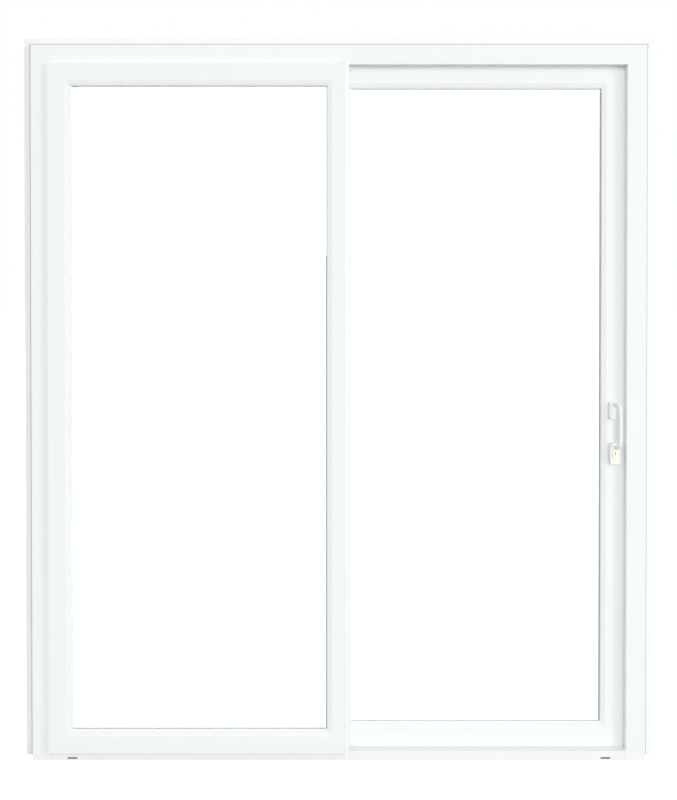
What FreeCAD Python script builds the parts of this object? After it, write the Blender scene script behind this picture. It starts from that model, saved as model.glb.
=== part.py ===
import FreeCAD, Part
import math
import os

import Sketcher

# Two-panel sliding patio door, seen from outside: the left panel is fixed and stands proud of the frame,
# the right panel rolls to the left behind it. X runs to the right, Y runs inwards, Z runs up. The origin is
# the middle of the sill's underside.

os.makedirs("parts", exist_ok=True)
doc = FreeCAD.newDocument("PatioDoor")

# Driving sizes in millimetres, one named cell each
SIZES = [
    ("frame_width", 1816), ("frame_height", 2118), ("frame_depth", 116), ("jamb_face", 57), ("cut_room", 1),
    ("trim_room", 200),
    ("frame_wall", 2.4), ("leg_depth", 22), ("channel_width", 56), ("channel_floor", 41),
    ("guide_thick", 3), ("guide_drop", 16),
    ("sill_front", 30), ("sill_floor", 15), ("dam_height", 48),
    ("weep_length", 30), ("weep_height", 5), ("weep_inset", 118), ("weep_rise", 8),
    ("rail_thick", 5), ("rail_top", 34), ("rail_foot", 16), ("rail_foot_thick", 1.5),
    ("fin_setback", 38), ("fin_thick", 1.5), ("fin_side_reach", 30), ("fin_top_reach", 26), ("fin_foot", 14),
    ("kerf_width", 3.5), ("kerf_depth", 8),
    ("panel_thick", 42), ("panel_wall", 2.4), ("panel_proud", 20), ("panel_gap", 8),
    ("fixed_width", 866.7), ("jamb_lap", 2.4), ("seat_gap", 0.3),
    ("fixed_stile", 67.9), ("meeting_stile", 51),
    ("fixed_top_rail_height", 68.7), ("fixed_bottom_rail_height", 68.9),
    ("panel_overlap", 28.3), ("jamb_entry", 10), ("head_entry", 10), ("track_clearance", 7),
    ("lock_stile_width", 82), ("slider_top_rail_height", 79.2), ("slider_bottom_rail_height", 78.2),
    ("bevel_width", 18), ("bevel_drop", 5), ("lip_width", 5), ("lip_drop", 9), ("lip_fall", 0.8),
    ("glass_setback", 12), ("pane_thick", 3), ("pane_gap", 13), ("glass_bite", 13), ("glass_edge_room", 3),
    ("spacer_width", 6.5), ("bead_setback", 6), ("bead_lip", 2), ("bead_slope", 6),
    ("roller_slot_depth", 46), ("groove_width", 15), ("groove_depth", 15),
    ("interlock_thick", 1.5), ("interlock_reach", 5), ("interlock_lip", 12), ("interlock_foot", 14),
    ("interlock_play", 1), ("interlock_end_room", 10),
    ("nose_width", 16.8), ("nose_setback", 1), ("nose_fall", 6), ("nose_lip", 2),
    ("nose_groove_width", 3.8), ("nose_groove_depth", 2.5), ("nose_over_head", 7), ("nose_over_sill", 10),
    ("wheel_tread_radius", 13), ("wheel_flange_radius", 15.5), ("wheel_width", 12), ("wheel_play", 0.5),
    ("wheel_pitch", 44), ("roller_inset", 110), ("axle_radius", 3), ("axle_play", 0.05),
    ("roller_case_length", 100), ("roller_case_width", 20), ("roller_case_wall", 2), ("roller_case_drop", 30),
    ("lock_centre_height", 960), ("mortise_height", 150), ("mortise_width", 20), ("faceplate_thick", 2),
    ("case_depth", 24), ("case_height", 120), ("case_width", 15), ("hook_slot_height", 46),
    ("hook_thick", 3), ("hook_setback", 1), ("hook_height", 34), ("hook_nose", 26), ("hook_throat", 14),
    ("hook_nose_width", 7), ("hook_ramp", 8),
    ("keeper_height", 120), ("keeper_width", 22), ("keeper_thick", 1.6), ("keeper_slot_height", 50),
    ("keeper_slot_width", 8), ("plate_corner", 4),
    ("clip_width", 40), ("clip_height", 60), ("clip_thick", 2), ("clip_first", 300), ("clip_tuck", 14),
    ("lock_housing_edge", 16), ("lock_housing_width", 31), ("lock_housing_height", 64),
    ("lock_housing_bottom", 877), ("lock_housing_proud", 20), ("lock_housing_corner", 8),
    ("boss_width", 20), ("boss_height", 52), ("boss_top", 1062), ("boss_proud", 14), ("boss_corner", 6),
    ("handle_chamfer", 2.5),
    ("bow_radius", 5.5), ("bow_reach", 44), ("bow_bend", 15), ("bow_lean", 20),
    ("bow_top_inset", 7), ("bow_foot_inset", 11), ("bow_root", 5),
    ("cylinder_width", 17), ("cylinder_height", 26), ("cylinder_proud", 2), ("cylinder_rise", 33),
    ("cylinder_length", 19), ("plug_radius", 6), ("plug_short", 3), ("plug_play", 0.06), ("plug_proud", 0.6),
    ("keyway_width", 2), ("keyway_height", 8.5), ("keyway_depth", 12),
    ("escutcheon_width", 34), ("escutcheon_height", 250), ("escutcheon_thick", 7), ("escutcheon_corner", 10),
    ("inside_bow_height", 140), ("inside_bow_reach", 40), ("inside_bow_bend", 20), ("inside_bow_radius", 6),
    ("lever_hub_radius", 9), ("lever_hub_length", 9), ("lever_length", 34), ("lever_thick", 5),
]
sizes = doc.addObject("Spreadsheet::Sheet", "Sizes")
for row, (alias, number) in enumerate(SIZES, start=1):
    sizes.set(f"A{row}", alias)
    sizes.set(f"B{row}", str(number))
    sizes.setAlias(f"B{row}", alias)

# Places worked out from the driving sizes, each a formula in a second sheet
PLACES = [
    ("half_width", "Sizes.frame_width / 2"),
    ("face_y", "-Sizes.frame_depth / 2"),
    ("back_y", "Sizes.frame_depth / 2"),
    ("leg_y", "face_y + Sizes.leg_depth"),
    ("channel_y", "leg_y + Sizes.channel_width"),
    ("open_left", "-half_width + Sizes.jamb_face"),
    ("open_right", "half_width - Sizes.jamb_face"),
    ("open_top", "Sizes.frame_height - Sizes.jamb_face"),
    ("floor_left", "-half_width + Sizes.channel_floor"),
    ("floor_right", "half_width - Sizes.channel_floor"),
    ("fin_y", "face_y + Sizes.fin_setback"),
    ("rebate", "Sizes.glass_bite + Sizes.glass_edge_room"),
    ("fixed_front", "face_y - Sizes.panel_proud"),
    ("fixed_back", "fixed_front + Sizes.panel_thick"),
    ("fixed_left", "open_left - Sizes.jamb_lap"),
    ("fixed_right", "fixed_left + Sizes.fixed_width"),
    ("fixed_bottom", "Sizes.sill_front + Sizes.seat_gap"),
    ("fixed_top", "open_top - Sizes.seat_gap"),
    ("fixed_sight_left", "fixed_left + Sizes.fixed_stile"),
    ("fixed_sight_right", "fixed_right - Sizes.meeting_stile"),
    ("fixed_sight_bottom", "fixed_bottom + Sizes.fixed_bottom_rail_height"),
    ("fixed_sight_top", "fixed_top - Sizes.fixed_top_rail_height"),
    ("slider_front", "fixed_back + Sizes.panel_gap"),
    ("slider_back", "slider_front + Sizes.panel_thick"),
    ("slider_left", "fixed_right - Sizes.panel_overlap"),
    ("slider_right", "open_right + Sizes.jamb_entry"),
    ("slider_bottom", "Sizes.sill_floor + Sizes.track_clearance"),
    ("slider_top", "open_top + Sizes.head_entry"),
    ("slider_sight_left", "slider_left + Sizes.meeting_stile"),
    ("slider_sight_right", "slider_right - Sizes.lock_stile_width"),
    ("slider_sight_bottom", "slider_bottom + Sizes.slider_bottom_rail_height"),
    ("slider_sight_top", "slider_top - Sizes.slider_top_rail_height"),
    ("track_y", "slider_front + Sizes.panel_thick / 2"),
    ("wheel_z", "Sizes.rail_top + Sizes.seat_gap + Sizes.wheel_tread_radius"),
    ("slot_top", "slider_bottom + Sizes.roller_slot_depth"),
    ("housing_left", "open_right - Sizes.lock_housing_edge - Sizes.lock_housing_width"),
    ("handle_x", "housing_left + Sizes.boss_width / 2"),
    ("housing_x", "housing_left + Sizes.lock_housing_width / 2"),
    ("housing_top", "Sizes.lock_housing_bottom + Sizes.lock_housing_height"),
    ("key_x", "housing_left + Sizes.lock_housing_width / 2"),
    ("key_z", "Sizes.lock_housing_bottom + Sizes.cylinder_rise"),
]
places = doc.addObject("Spreadsheet::Sheet", "Places")
for row, (alias, formula) in enumerate(PLACES, start=1):
    places.set(f"A{row}", alias)
    places.set(f"B{row}", "=" + formula)
    places.setAlias(f"B{row}", alias)
doc.recompute()

nodes = []


def number(expression):
    """Works out an expression on the sheets."""
    return float(sizes.evalExpression(expression))


def start_body(label):
    """Starts a body that is one piece of the door."""
    body = doc.addObject("PartDesign::Body", label)
    body.Label = label
    return body


def add_sketch(body, name, plane, offset="0"):
    """Puts a sketch on one of the body's own origin planes, moved along that plane's normal."""
    sketch = body.newObject("Sketcher::SketchObject", f"{body.Label}_{name}")
    face = next(item for item in body.Origin.OriginFeatures if item.Role == plane)
    sketch.AttachmentSupport = [(face, "")]
    sketch.MapMode = "FlatFace"
    sketch.setExpression("AttachmentOffset.Base.z", offset)
    return sketch


def pin(sketch, geometry, point, across, up):
    """Ties one point of a sketch to a pair of expressions."""
    for kind, expression in (("DistanceX", across), ("DistanceY", up)):
        index = sketch.addConstraint(Sketcher.Constraint(kind, geometry, point, number(expression)))
        sketch.setExpression(f"Constraints[{index}]", expression)


def add_outline(sketch, corners):
    """Draws a closed outline of straight lines, each corner given as a pair of expressions."""
    first = sketch.GeometryCount
    spots = [FreeCAD.Vector(number(across), number(up), 0) for across, up in corners]
    for start, end in zip(spots, spots[1:] + spots[:1]):
        sketch.addGeometry(Part.LineSegment(start, end), False)
    count = len(corners)
    for index, (across, up) in enumerate(corners):
        following = first + (index + 1) % count
        sketch.addConstraint(Sketcher.Constraint("Coincident", first + index, 2, following, 1))
        pin(sketch, first + index, 1, across, up)


def box(left, bottom, right, top):
    """The four corners of an upright rectangle."""
    return [(left, bottom), (right, bottom), (right, top), (left, top)]


def add_circle(sketch, across, up, radius):
    """Draws a circle tied to expressions."""
    centre = FreeCAD.Vector(number(across), number(up), 0)
    index = sketch.addGeometry(Part.Circle(centre, FreeCAD.Vector(0, 0, 1), number(radius)), False)
    pin(sketch, index, 3, across, up)
    held = sketch.addConstraint(Sketcher.Constraint("Radius", index, number(radius)))
    sketch.setExpression(f"Constraints[{held}]", radius)


# Share of a width taken as the corner radius of a fully round end, just under half so that the side stays
ROUND_END = "0.4995"


def add_round_box(sketch, left, bottom, right, top, radius):
    """Draws a rectangle with rounded corners: four lines joined by four quarter arcs."""
    first = sketch.GeometryCount
    low_x, low_y, high_x, high_y = (number(item) for item in (left, bottom, right, top))
    bend = number(radius)
    centres = [
        (f"({left}) + ({radius})", f"({bottom}) + ({radius})", 180),
        (f"({right}) - ({radius})", f"({bottom}) + ({radius})", 270),
        (f"({right}) - ({radius})", f"({top}) - ({radius})", 0),
        (f"({left}) + ({radius})", f"({top}) - ({radius})", 90),
    ]
    for across, up, turn in centres:
        circle = Part.Circle(FreeCAD.Vector(number(across), number(up), 0), FreeCAD.Vector(0, 0, 1), bend)
        sketch.addGeometry(Part.ArcOfCircle(circle, math.radians(turn), math.radians(turn + 90)), False)
    lines = [
        ((low_x + bend, low_y), (high_x - bend, low_y)),
        ((high_x, low_y + bend), (high_x, high_y - bend)),
        ((high_x - bend, high_y), (low_x + bend, high_y)),
        ((low_x, high_y - bend), (low_x, low_y + bend)),
    ]
    for start, end in lines:
        sketch.addGeometry(Part.LineSegment(FreeCAD.Vector(*start, 0), FreeCAD.Vector(*end, 0)), False)
    for index, (across, up, turn) in enumerate(centres):
        arc = first + index
        line = first + 4 + index
        following = first + (index + 1) % 4
        sketch.addConstraint(Sketcher.Constraint("Tangent", arc, 2, line, 1))
        sketch.addConstraint(Sketcher.Constraint("Tangent", line, 2, following, 1))
        pin(sketch, arc, 3, across, up)
    held = sketch.addConstraint(Sketcher.Constraint("Radius", first, number(radius)))
    sketch.setExpression(f"Constraints[{held}]", radius)


def pad(body, sketch, length, backwards=False):
    """Pads a sketch by an expression."""
    feature = body.newObject("PartDesign::Pad", f"{sketch.Label}_pad")
    feature.Profile = sketch
    feature.Reversed = backwards
    feature.setExpression("Length", length)
    return feature


def pocket(body, sketch, length, backwards=False):
    """Cuts a sketch into the body by an expression."""
    feature = body.newObject("PartDesign::Pocket", f"{sketch.Label}_pocket")
    feature.Profile = sketch
    feature.Reversed = backwards
    feature.setExpression("Length", length)
    return feature


def extrude(label, plane, start, length, outlines):
    """A body padded from one sketch of straight outlines, the inner ones being its chambers."""
    body = start_body(label)
    sketch = add_sketch(body, "profile", plane, start)
    for corners in outlines:
        add_outline(sketch, corners)
    pad(body, sketch, length)
    nodes.append(body)
    return body


def trim(body, plane, start, depth, keep):
    """Cuts away all of the body outside an outline, between two planes."""
    sketch = add_sketch(body, f"trim{len(body.Group)}", plane, start)
    across = [corner[0] for corner in keep]
    up = [corner[1] for corner in keep]
    lows = [min(items, key=number) for items in (across, up)]
    highs = [max(items, key=number) for items in (across, up)]
    add_outline(sketch, box(f"{lows[0]} - Sizes.trim_room", f"{lows[1]} - Sizes.trim_room",
                            f"{highs[0]} + Sizes.trim_room", f"{highs[1]} + Sizes.trim_room"))
    add_outline(sketch, keep)
    return pocket(body, sketch, depth)


def join(label, pieces):
    """One node made of like pieces that don't touch."""
    compound = doc.addObject("Part::Compound", label)
    compound.Label = label
    compound.Links = pieces
    for piece in pieces:
        if piece in nodes:
            nodes.remove(piece)
    nodes.append(compound)
    return compound


# Frame: hollow white extrusions, an exterior leg, the channel the sliding panel runs in and an interior leg
def frame_outlines(edge, inward, guide=False):
    """The jamb and head section, from its outer edge inwards."""
    def at(reach):
        return f"{edge} {inward} ({reach})"
    inner = at("Sizes.jamb_face")
    floor = at("Sizes.channel_floor")
    wall = "Sizes.frame_wall"
    shell = [
        (at("0"), "Places.face_y"), (inner, "Places.face_y"), (inner, "Places.leg_y"), (floor, "Places.leg_y"),
        (floor, "Places.channel_y"), (inner, "Places.channel_y"),
        (inner, "Places.back_y"), (at("0"), "Places.back_y"),
    ]
    if guide:
        tip = at("Sizes.channel_floor + Sizes.guide_drop")
        low = "Places.track_y - Sizes.guide_thick / 2"
        high = "Places.track_y + Sizes.guide_thick / 2"
        shell[4:4] = [(floor, low), (tip, low), (tip, high), (floor, high)]
    middle = at("Sizes.jamb_face / 2 - Sizes.frame_wall / 2")
    past = at("Sizes.jamb_face / 2 + Sizes.frame_wall / 2")
    return [
        shell,
        box(at(wall), f"Places.face_y + {wall}", middle, f"Places.leg_y - {wall}"),
        box(past, f"Places.face_y + {wall}", at(f"Sizes.jamb_face - {wall}"), f"Places.leg_y - {wall}"),
        box(at(wall), "Places.leg_y", at(f"Sizes.channel_floor - {wall}"), f"Places.track_y - {wall} / 2"),
        box(at(wall), f"Places.track_y + {wall} / 2", at(f"Sizes.channel_floor - {wall}"), "Places.channel_y"),
        box(at(wall), f"Places.channel_y + {wall}", middle, f"Places.back_y - {wall}"),
        box(past, f"Places.channel_y + {wall}", at(f"Sizes.jamb_face - {wall}"), f"Places.back_y - {wall}"),
    ]


def swap(outlines):
    """Turns outlines drawn as (across, depth) into (depth, up) for a piece that runs sideways."""
    return [[(second, first) for first, second in corners] for corners in outlines]


THROUGH = "Sizes.frame_depth + 2 * Sizes.panel_proud"
FRONT = "-(Places.fixed_front - Sizes.cut_room)"

left_jamb = extrude("left_jamb", "XY_Plane", "0", "Sizes.frame_height",
                    frame_outlines("-Places.half_width", "+"))
trim(left_jamb, "XZ_Plane", FRONT, THROUGH, [
    ("-Places.half_width", "0"), ("Places.open_left", "0"),
    ("Places.open_left", "Places.open_top"), ("-Places.half_width", "Sizes.frame_height"),
])
right_jamb = extrude("right_jamb", "XY_Plane", "0", "Sizes.frame_height",
                     frame_outlines("Places.half_width", "-"))
trim(right_jamb, "XZ_Plane", FRONT, THROUGH, [
    ("Places.open_right", "0"), ("Places.half_width", "0"),
    ("Places.half_width", "Sizes.frame_height"), ("Places.open_right", "Places.open_top"),
])
head = extrude("head", "YZ_Plane", "-Places.half_width", "Sizes.frame_width",
               swap(frame_outlines("Sizes.frame_height", "-", guide=True)))
trim(head, "XZ_Plane", FRONT, THROUGH, [
    ("Places.open_left", "Places.open_top"), ("Places.open_right", "Places.open_top"),
    ("Places.half_width", "Sizes.frame_height"), ("-Places.half_width", "Sizes.frame_height"),
])

# Sill: a front ledge, the lower track floor and the raised dam on the room side
wall = "Sizes.frame_wall"
sill = extrude("sill", "YZ_Plane", "Places.floor_left", "Places.floor_right - Places.floor_left", [
    [
        ("Places.face_y", "0"), ("Places.back_y", "0"), ("Places.back_y", "Sizes.dam_height"),
        ("Places.channel_y", "Sizes.dam_height"), ("Places.channel_y", "Sizes.sill_floor"),
        ("Places.leg_y", "Sizes.sill_floor"), ("Places.leg_y", "Sizes.sill_front"),
        ("Places.face_y", "Sizes.sill_front"),
    ],
    box(f"Places.face_y + {wall}", wall, f"Places.leg_y - {wall}", f"Sizes.sill_front - {wall}"),
    box("Places.leg_y", wall, f"Places.track_y - {wall} / 2", f"Sizes.sill_floor - {wall}"),
    box(f"Places.track_y + {wall} / 2", wall, "Places.channel_y", f"Sizes.sill_floor - {wall}"),
    box(f"Places.channel_y + {wall}", wall, f"Places.back_y - {wall}", f"Sizes.dam_height - {wall}"),
])
trim(sill, "XY_Plane", "Sizes.dam_height + Sizes.cut_room", "Sizes.dam_height + 2 * Sizes.cut_room", [
    ("Places.open_left", "Places.face_y"), ("Places.open_right", "Places.face_y"),
    ("Places.open_right", "Places.leg_y"), ("Places.floor_right", "Places.leg_y"),
    ("Places.floor_right", "Places.channel_y"), ("Places.open_right", "Places.channel_y"),
    ("Places.open_right", "Places.back_y"), ("Places.open_left", "Places.back_y"),
    ("Places.open_left", "Places.channel_y"), ("Places.floor_left", "Places.channel_y"),
    ("Places.floor_left", "Places.leg_y"), ("Places.open_left", "Places.leg_y"),
])
weeps = add_sketch(sill, "weeps", "XZ_Plane", "-Places.face_y")
for side in ("-", "+"):
    centre = f"{side}(Places.half_width - Sizes.weep_inset)"
    add_round_box(weeps, f"{centre} - Sizes.weep_length / 2", "Sizes.weep_rise - Sizes.weep_height / 2",
                  f"{centre} + Sizes.weep_length / 2", "Sizes.weep_rise + Sizes.weep_height / 2",
                  f"Sizes.weep_height * {ROUND_END}")
pocket(sill, weeps, f"{wall} + Sizes.cut_room")

# Metal rail that the rollers run on, a foot and a stem, lying on the track floor
extrude("sill_rail", "YZ_Plane", "Places.floor_left", "Places.floor_right - Places.floor_left", [[
    ("Places.track_y - Sizes.rail_foot / 2", "Sizes.sill_floor"),
    ("Places.track_y + Sizes.rail_foot / 2", "Sizes.sill_floor"),
    ("Places.track_y + Sizes.rail_foot / 2", "Sizes.sill_floor + Sizes.rail_foot_thick"),
    ("Places.track_y + Sizes.rail_thick / 2", "Sizes.sill_floor + Sizes.rail_foot_thick"),
    ("Places.track_y + Sizes.rail_thick / 2", "Sizes.rail_top - Sizes.rail_thick / 4"),
    ("Places.track_y + Sizes.rail_thick / 4", "Sizes.rail_top"),
    ("Places.track_y - Sizes.rail_thick / 4", "Sizes.rail_top"),
    ("Places.track_y - Sizes.rail_thick / 2", "Sizes.rail_top - Sizes.rail_thick / 4"),
    ("Places.track_y - Sizes.rail_thick / 2", "Sizes.sill_floor + Sizes.rail_foot_thick"),
    ("Places.track_y - Sizes.rail_foot / 2", "Sizes.sill_floor + Sizes.rail_foot_thick"),
]])


# Nail fins: thin angle strips on the frame's outer edge
def fin_outline(edge, outward, reach):
    """An angle: its foot lies on the frame's outer wall, then a kerf, and its wing stands out."""
    def at(reach):
        return f"{edge} {outward} ({reach})"
    kerf_floor = "Places.fin_y + Sizes.kerf_depth"
    return [
        (edge, kerf_floor), (at("Sizes.kerf_width"), kerf_floor), (at("Sizes.kerf_width"), "Places.fin_y"),
        (at(reach), "Places.fin_y"), (at(reach), "Places.fin_y + Sizes.fin_thick"),
        (at("Sizes.kerf_width + Sizes.fin_thick"), "Places.fin_y + Sizes.fin_thick"),
        (at("Sizes.kerf_width + Sizes.fin_thick"), f"{kerf_floor} + Sizes.fin_thick"),
        (at("Sizes.fin_thick"), f"{kerf_floor} + Sizes.fin_thick"),
        (at("Sizes.fin_thick"), "Places.fin_y + Sizes.fin_foot"), (edge, "Places.fin_y + Sizes.fin_foot"),
    ]


for label, edge, outward in (("nail_fin_left", "-Places.half_width", "-"),
                             ("nail_fin_right", "Places.half_width", "+")):
    fin = extrude(label, "XY_Plane", "0", "Sizes.frame_height",
                  [fin_outline(edge, outward, "Sizes.fin_side_reach")])
    corner_piece = add_sketch(fin, "corner", "XZ_Plane", "-(Places.fin_y + Sizes.fin_thick)")
    add_outline(corner_piece, box(edge, "Sizes.frame_height", f"{edge} {outward} Sizes.fin_side_reach",
                                  "Sizes.frame_height + Sizes.fin_top_reach"))
    pad(fin, corner_piece, "Sizes.fin_thick")
extrude("nail_fin_head", "YZ_Plane", "-Places.half_width", "Sizes.frame_width",
        swap([fin_outline("Sizes.frame_height", "+", "Sizes.fin_top_reach")]))


# Panels: hollow stiles and rails, mitred, with a sloped glazing leg outside and a rebate for the glass
def member_outlines(outer, sight, inward, front, back, extra=None, chambers=None):
    """The section of a stile or rail, from its outer edge to the glass sight line."""
    def short(reach):
        return f"{sight} {'-' if inward == '+' else '+'} ({reach})"
    side = "Sizes.panel_wall"
    shell = [
        (outer, front), (short("Sizes.bevel_width"), front),
        (short("Sizes.lip_width"), f"{front} + Sizes.bevel_drop"),
        (short("Sizes.lip_width"), f"{front} + Sizes.lip_drop"),
        (sight, f"{front} + Sizes.lip_drop + Sizes.lip_fall"),
        (sight, f"{front} + Sizes.glass_setback - Sizes.seat_gap"),
        (short("Places.rebate"), f"{front} + Sizes.glass_setback - Sizes.seat_gap"),
        (short("Places.rebate"), back), (outer, back),
    ]
    if extra:
        shell += extra
    if chambers is None:
        middle = f"({outer} + {short('Places.rebate')}) / 2"
        chambers = [
            box(f"{outer} {inward} {side}", f"{front} + {side}",
                f"{middle} {'-' if inward == '+' else '+'} {side} / 2", f"{back} - {side}"),
            box(f"{middle} {inward} {side} / 2", f"{front} + {side}",
                short(f"Places.rebate + {side}"), f"{back} - {side}"),
        ]
    return [shell] + chambers


def corner(panel, across, up):
    """The outer corner of a panel, the corner of its bevel and the corner of its glass opening."""
    turn_x = "-" if across == "left" else "+"
    turn_z = "-" if up == "bottom" else "+"
    sight_x = f"Places.{panel}_sight_{across}"
    sight_z = f"Places.{panel}_sight_{up}"
    return {
        "outer": (f"Places.{panel}_{across}", f"Places.{panel}_{up}"),
        "bevel": (f"{sight_x} {turn_x} Sizes.bevel_width", f"{sight_z} {turn_z} Sizes.bevel_width"),
        "sight": (sight_x, sight_z),
    }


def shadow(panel, first, second, rings):
    """The outline of the member between two corners, from its outer line to the glass."""
    near = corner(panel, *first)
    far = corner(panel, *second)
    return [near[ring] for ring in rings] + [far[ring] for ring in reversed(rings)]


SIDES = {
    "left": (("left", "bottom"), ("left", "top")),
    "right": (("right", "bottom"), ("right", "top")),
    "top": (("left", "top"), ("right", "top")),
    "bottom": (("left", "bottom"), ("right", "bottom")),
}


def panel_member(label, panel, side, extra=None, chambers=None):
    """A stile or rail of a panel, mitred at both ends."""
    inward = "+" if side in ("left", "bottom") else "-"
    outlines = member_outlines(f"Places.{panel}_{side}", f"Places.{panel}_sight_{side}", inward,
                               f"Places.{panel}_front", f"Places.{panel}_back", extra, chambers)
    if side in ("left", "right"):
        body = extrude(label, "XY_Plane", f"Places.{panel}_bottom",
                       f"Places.{panel}_top - Places.{panel}_bottom", outlines)
    else:
        body = extrude(label, "YZ_Plane", f"Places.{panel}_left",
                       f"Places.{panel}_right - Places.{panel}_left", swap(outlines))
    trim(body, "XZ_Plane", FRONT, THROUGH, shadow(panel, *SIDES[side], ("outer", "bevel", "sight")))
    return body


def panel_bead(label, panel, side):
    """The inner glazing bead of one side, snapped into the rebate behind the glass."""
    inward = "+" if side in ("left", "bottom") else "-"
    outward = "-" if inward == "+" else "+"
    sight = f"Places.{panel}_sight_{side}"
    root = f"{sight} {outward} (Places.rebate - Sizes.seat_gap)"
    glass = "(Sizes.glass_setback + 2 * Sizes.pane_thick + Sizes.pane_gap)"
    seat = f"Places.{panel}_front + {glass} + Sizes.seat_gap"
    back = f"Places.{panel}_back"
    lip = f"{sight} {outward} Sizes.bead_setback"
    outlines = [[
        (root, seat), (lip, seat), (lip, f"{seat} + Sizes.bead_lip"),
        (f"{lip} {outward} Sizes.bead_slope", back), (root, back),
    ]]
    if side in ("left", "right"):
        body = extrude(label, "XY_Plane", f"Places.{panel}_bottom",
                       f"Places.{panel}_top - Places.{panel}_bottom", outlines)
    else:
        body = extrude(label, "YZ_Plane", f"Places.{panel}_left",
                       f"Places.{panel}_right - Places.{panel}_left", swap(outlines))
    trim(body, "XZ_Plane", FRONT, THROUGH, shadow(panel, *SIDES[side], ("bevel", "sight")))
    return body


def panel_glass(panel):
    """Two panes of glass held apart by a spacer round their edge."""
    edge = [
        f"Places.{panel}_sight_left - Sizes.glass_bite", f"Places.{panel}_sight_bottom - Sizes.glass_bite",
        f"Places.{panel}_sight_right + Sizes.glass_bite", f"Places.{panel}_sight_top + Sizes.glass_bite",
    ]
    inner = [f"{edge[0]} + Sizes.spacer_width", f"{edge[1]} + Sizes.spacer_width",
             f"{edge[2]} - Sizes.spacer_width", f"{edge[3]} - Sizes.spacer_width"]
    outer_face = f"Places.{panel}_front + Sizes.glass_setback"
    middle_face = f"{outer_face} + Sizes.pane_thick"
    inner_face = f"{middle_face} + Sizes.pane_gap"
    for name, near, depth, outlines in (
        ("glass_outer", outer_face, "Sizes.pane_thick", [box(*edge)]),
        ("glass_spacer", middle_face, "Sizes.pane_gap", [box(*edge), box(*inner)]),
        ("glass_inner", inner_face, "Sizes.pane_thick", [box(*edge)]),
    ):
        extrude(f"{panel}_{name}", "XZ_Plane", f"-({near} + {depth})", depth, outlines)


fixed_members = [
    panel_member("fixed_left_stile", "fixed", "left"),
    panel_member("fixed_meeting_stile", "fixed", "right"),
    panel_member("fixed_top_rail", "fixed", "top"),
    panel_member("fixed_bottom_rail", "fixed", "bottom"),
]


def fit_opening(body):
    """Steps the part of a fixed piece that lies behind the frame's face back to the frame's opening."""
    trim(body, "XZ_Plane", "-Places.face_y", "Sizes.panel_thick",
         box("Places.open_left + Sizes.seat_gap", "Places.fixed_bottom",
             "Places.fixed_right + Sizes.nose_width", "Places.fixed_top"))


for body in fixed_members:
    fit_opening(body)
panel_glass("fixed")
for side in SIDES:
    panel_bead(f"fixed_bead_{side}", "fixed", side)

side_wall = "Sizes.panel_wall"
lock_stile = panel_member("lock_stile", "slider", "right")
slider_meeting_stile = panel_member("slider_meeting_stile", "slider", "left")
for body in (lock_stile, slider_meeting_stile):
    grooves = add_sketch(body, "grooves", "YZ_Plane", "Places.slider_right + Sizes.cut_room")
    add_outline(grooves, box("Places.track_y - Sizes.groove_width / 2",
                             "Places.slider_top - Sizes.groove_depth",
                             "Places.track_y + Sizes.groove_width / 2",
                             "Places.slider_top + Sizes.cut_room"))
    add_outline(grooves, box(f"Places.slider_front + {side_wall}", "Places.slider_bottom - Sizes.cut_room",
                             f"Places.slider_back - {side_wall}", "Places.slot_top"))
    pocket(body, grooves, "Places.slider_right - Places.slider_left + 2 * Sizes.cut_room")
panel_member("slider_top_rail", "slider", "top", extra=[
    ("Places.slider_top", "Places.track_y + Sizes.groove_width / 2"),
    ("Places.slider_top - Sizes.groove_depth", "Places.track_y + Sizes.groove_width / 2"),
    ("Places.slider_top - Sizes.groove_depth", "Places.track_y - Sizes.groove_width / 2"),
    ("Places.slider_top", "Places.track_y - Sizes.groove_width / 2"),
], chambers=[
    box(f"Places.slider_sight_top + Places.rebate + {side_wall}", f"Places.slider_front + {side_wall}",
        f"Places.slider_top - Sizes.groove_depth - {side_wall}", f"Places.slider_back - {side_wall}"),
])
panel_member("slider_bottom_rail", "slider", "bottom", extra=[
    ("Places.slider_bottom", f"Places.slider_back - {side_wall}"),
    ("Places.slot_top", f"Places.slider_back - {side_wall}"),
    ("Places.slot_top", f"Places.slider_front + {side_wall}"),
    ("Places.slider_bottom", f"Places.slider_front + {side_wall}"),
], chambers=[
    box(f"Places.slot_top + {side_wall}", f"Places.slider_front + {side_wall}",
        f"Places.slider_sight_bottom - Places.rebate - {side_wall}", f"Places.slider_back - {side_wall}"),
])
panel_glass("slider")
for side in SIDES:
    panel_bead(f"slider_bead_{side}", "slider", side)

# Interlock: two strips on the meeting stiles whose hooks slide into each other as the door closes; the
# fixed one also covers the edge of its stile with a sloped nose
hook_in = "Places.fixed_back + Sizes.interlock_reach"
edge = "Places.fixed_right"
nose_y = "Places.fixed_front + Sizes.nose_setback"
nose_back = f"{nose_y} + Sizes.nose_fall + Sizes.nose_lip"
nose_foot = "(Places.fixed_bottom - Sizes.nose_over_sill)"
fixed_interlock = extrude("fixed_interlock", "XY_Plane", nose_foot,
                          f"Places.fixed_top + Sizes.nose_over_head - {nose_foot}", [[
                              (edge, f"{nose_y} + Sizes.nose_groove_depth"),
                              (f"{edge} + Sizes.nose_groove_width", f"{nose_y} + Sizes.nose_groove_depth"),
                              (f"{edge} + Sizes.nose_groove_width", nose_y),
                              (f"{edge} + Sizes.nose_width", f"{nose_y} + Sizes.nose_fall"),
                              (f"{edge} + Sizes.nose_width", nose_back),
                              (f"{edge} + Sizes.interlock_thick", nose_back),
                              (f"{edge} + Sizes.interlock_thick", hook_in),
                              (f"{edge} - Sizes.interlock_lip", hook_in),
                              (f"{edge} - Sizes.interlock_lip", f"{hook_in} - Sizes.interlock_thick"),
                              (edge, f"{hook_in} - Sizes.interlock_thick"),
                          ]])
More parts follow.
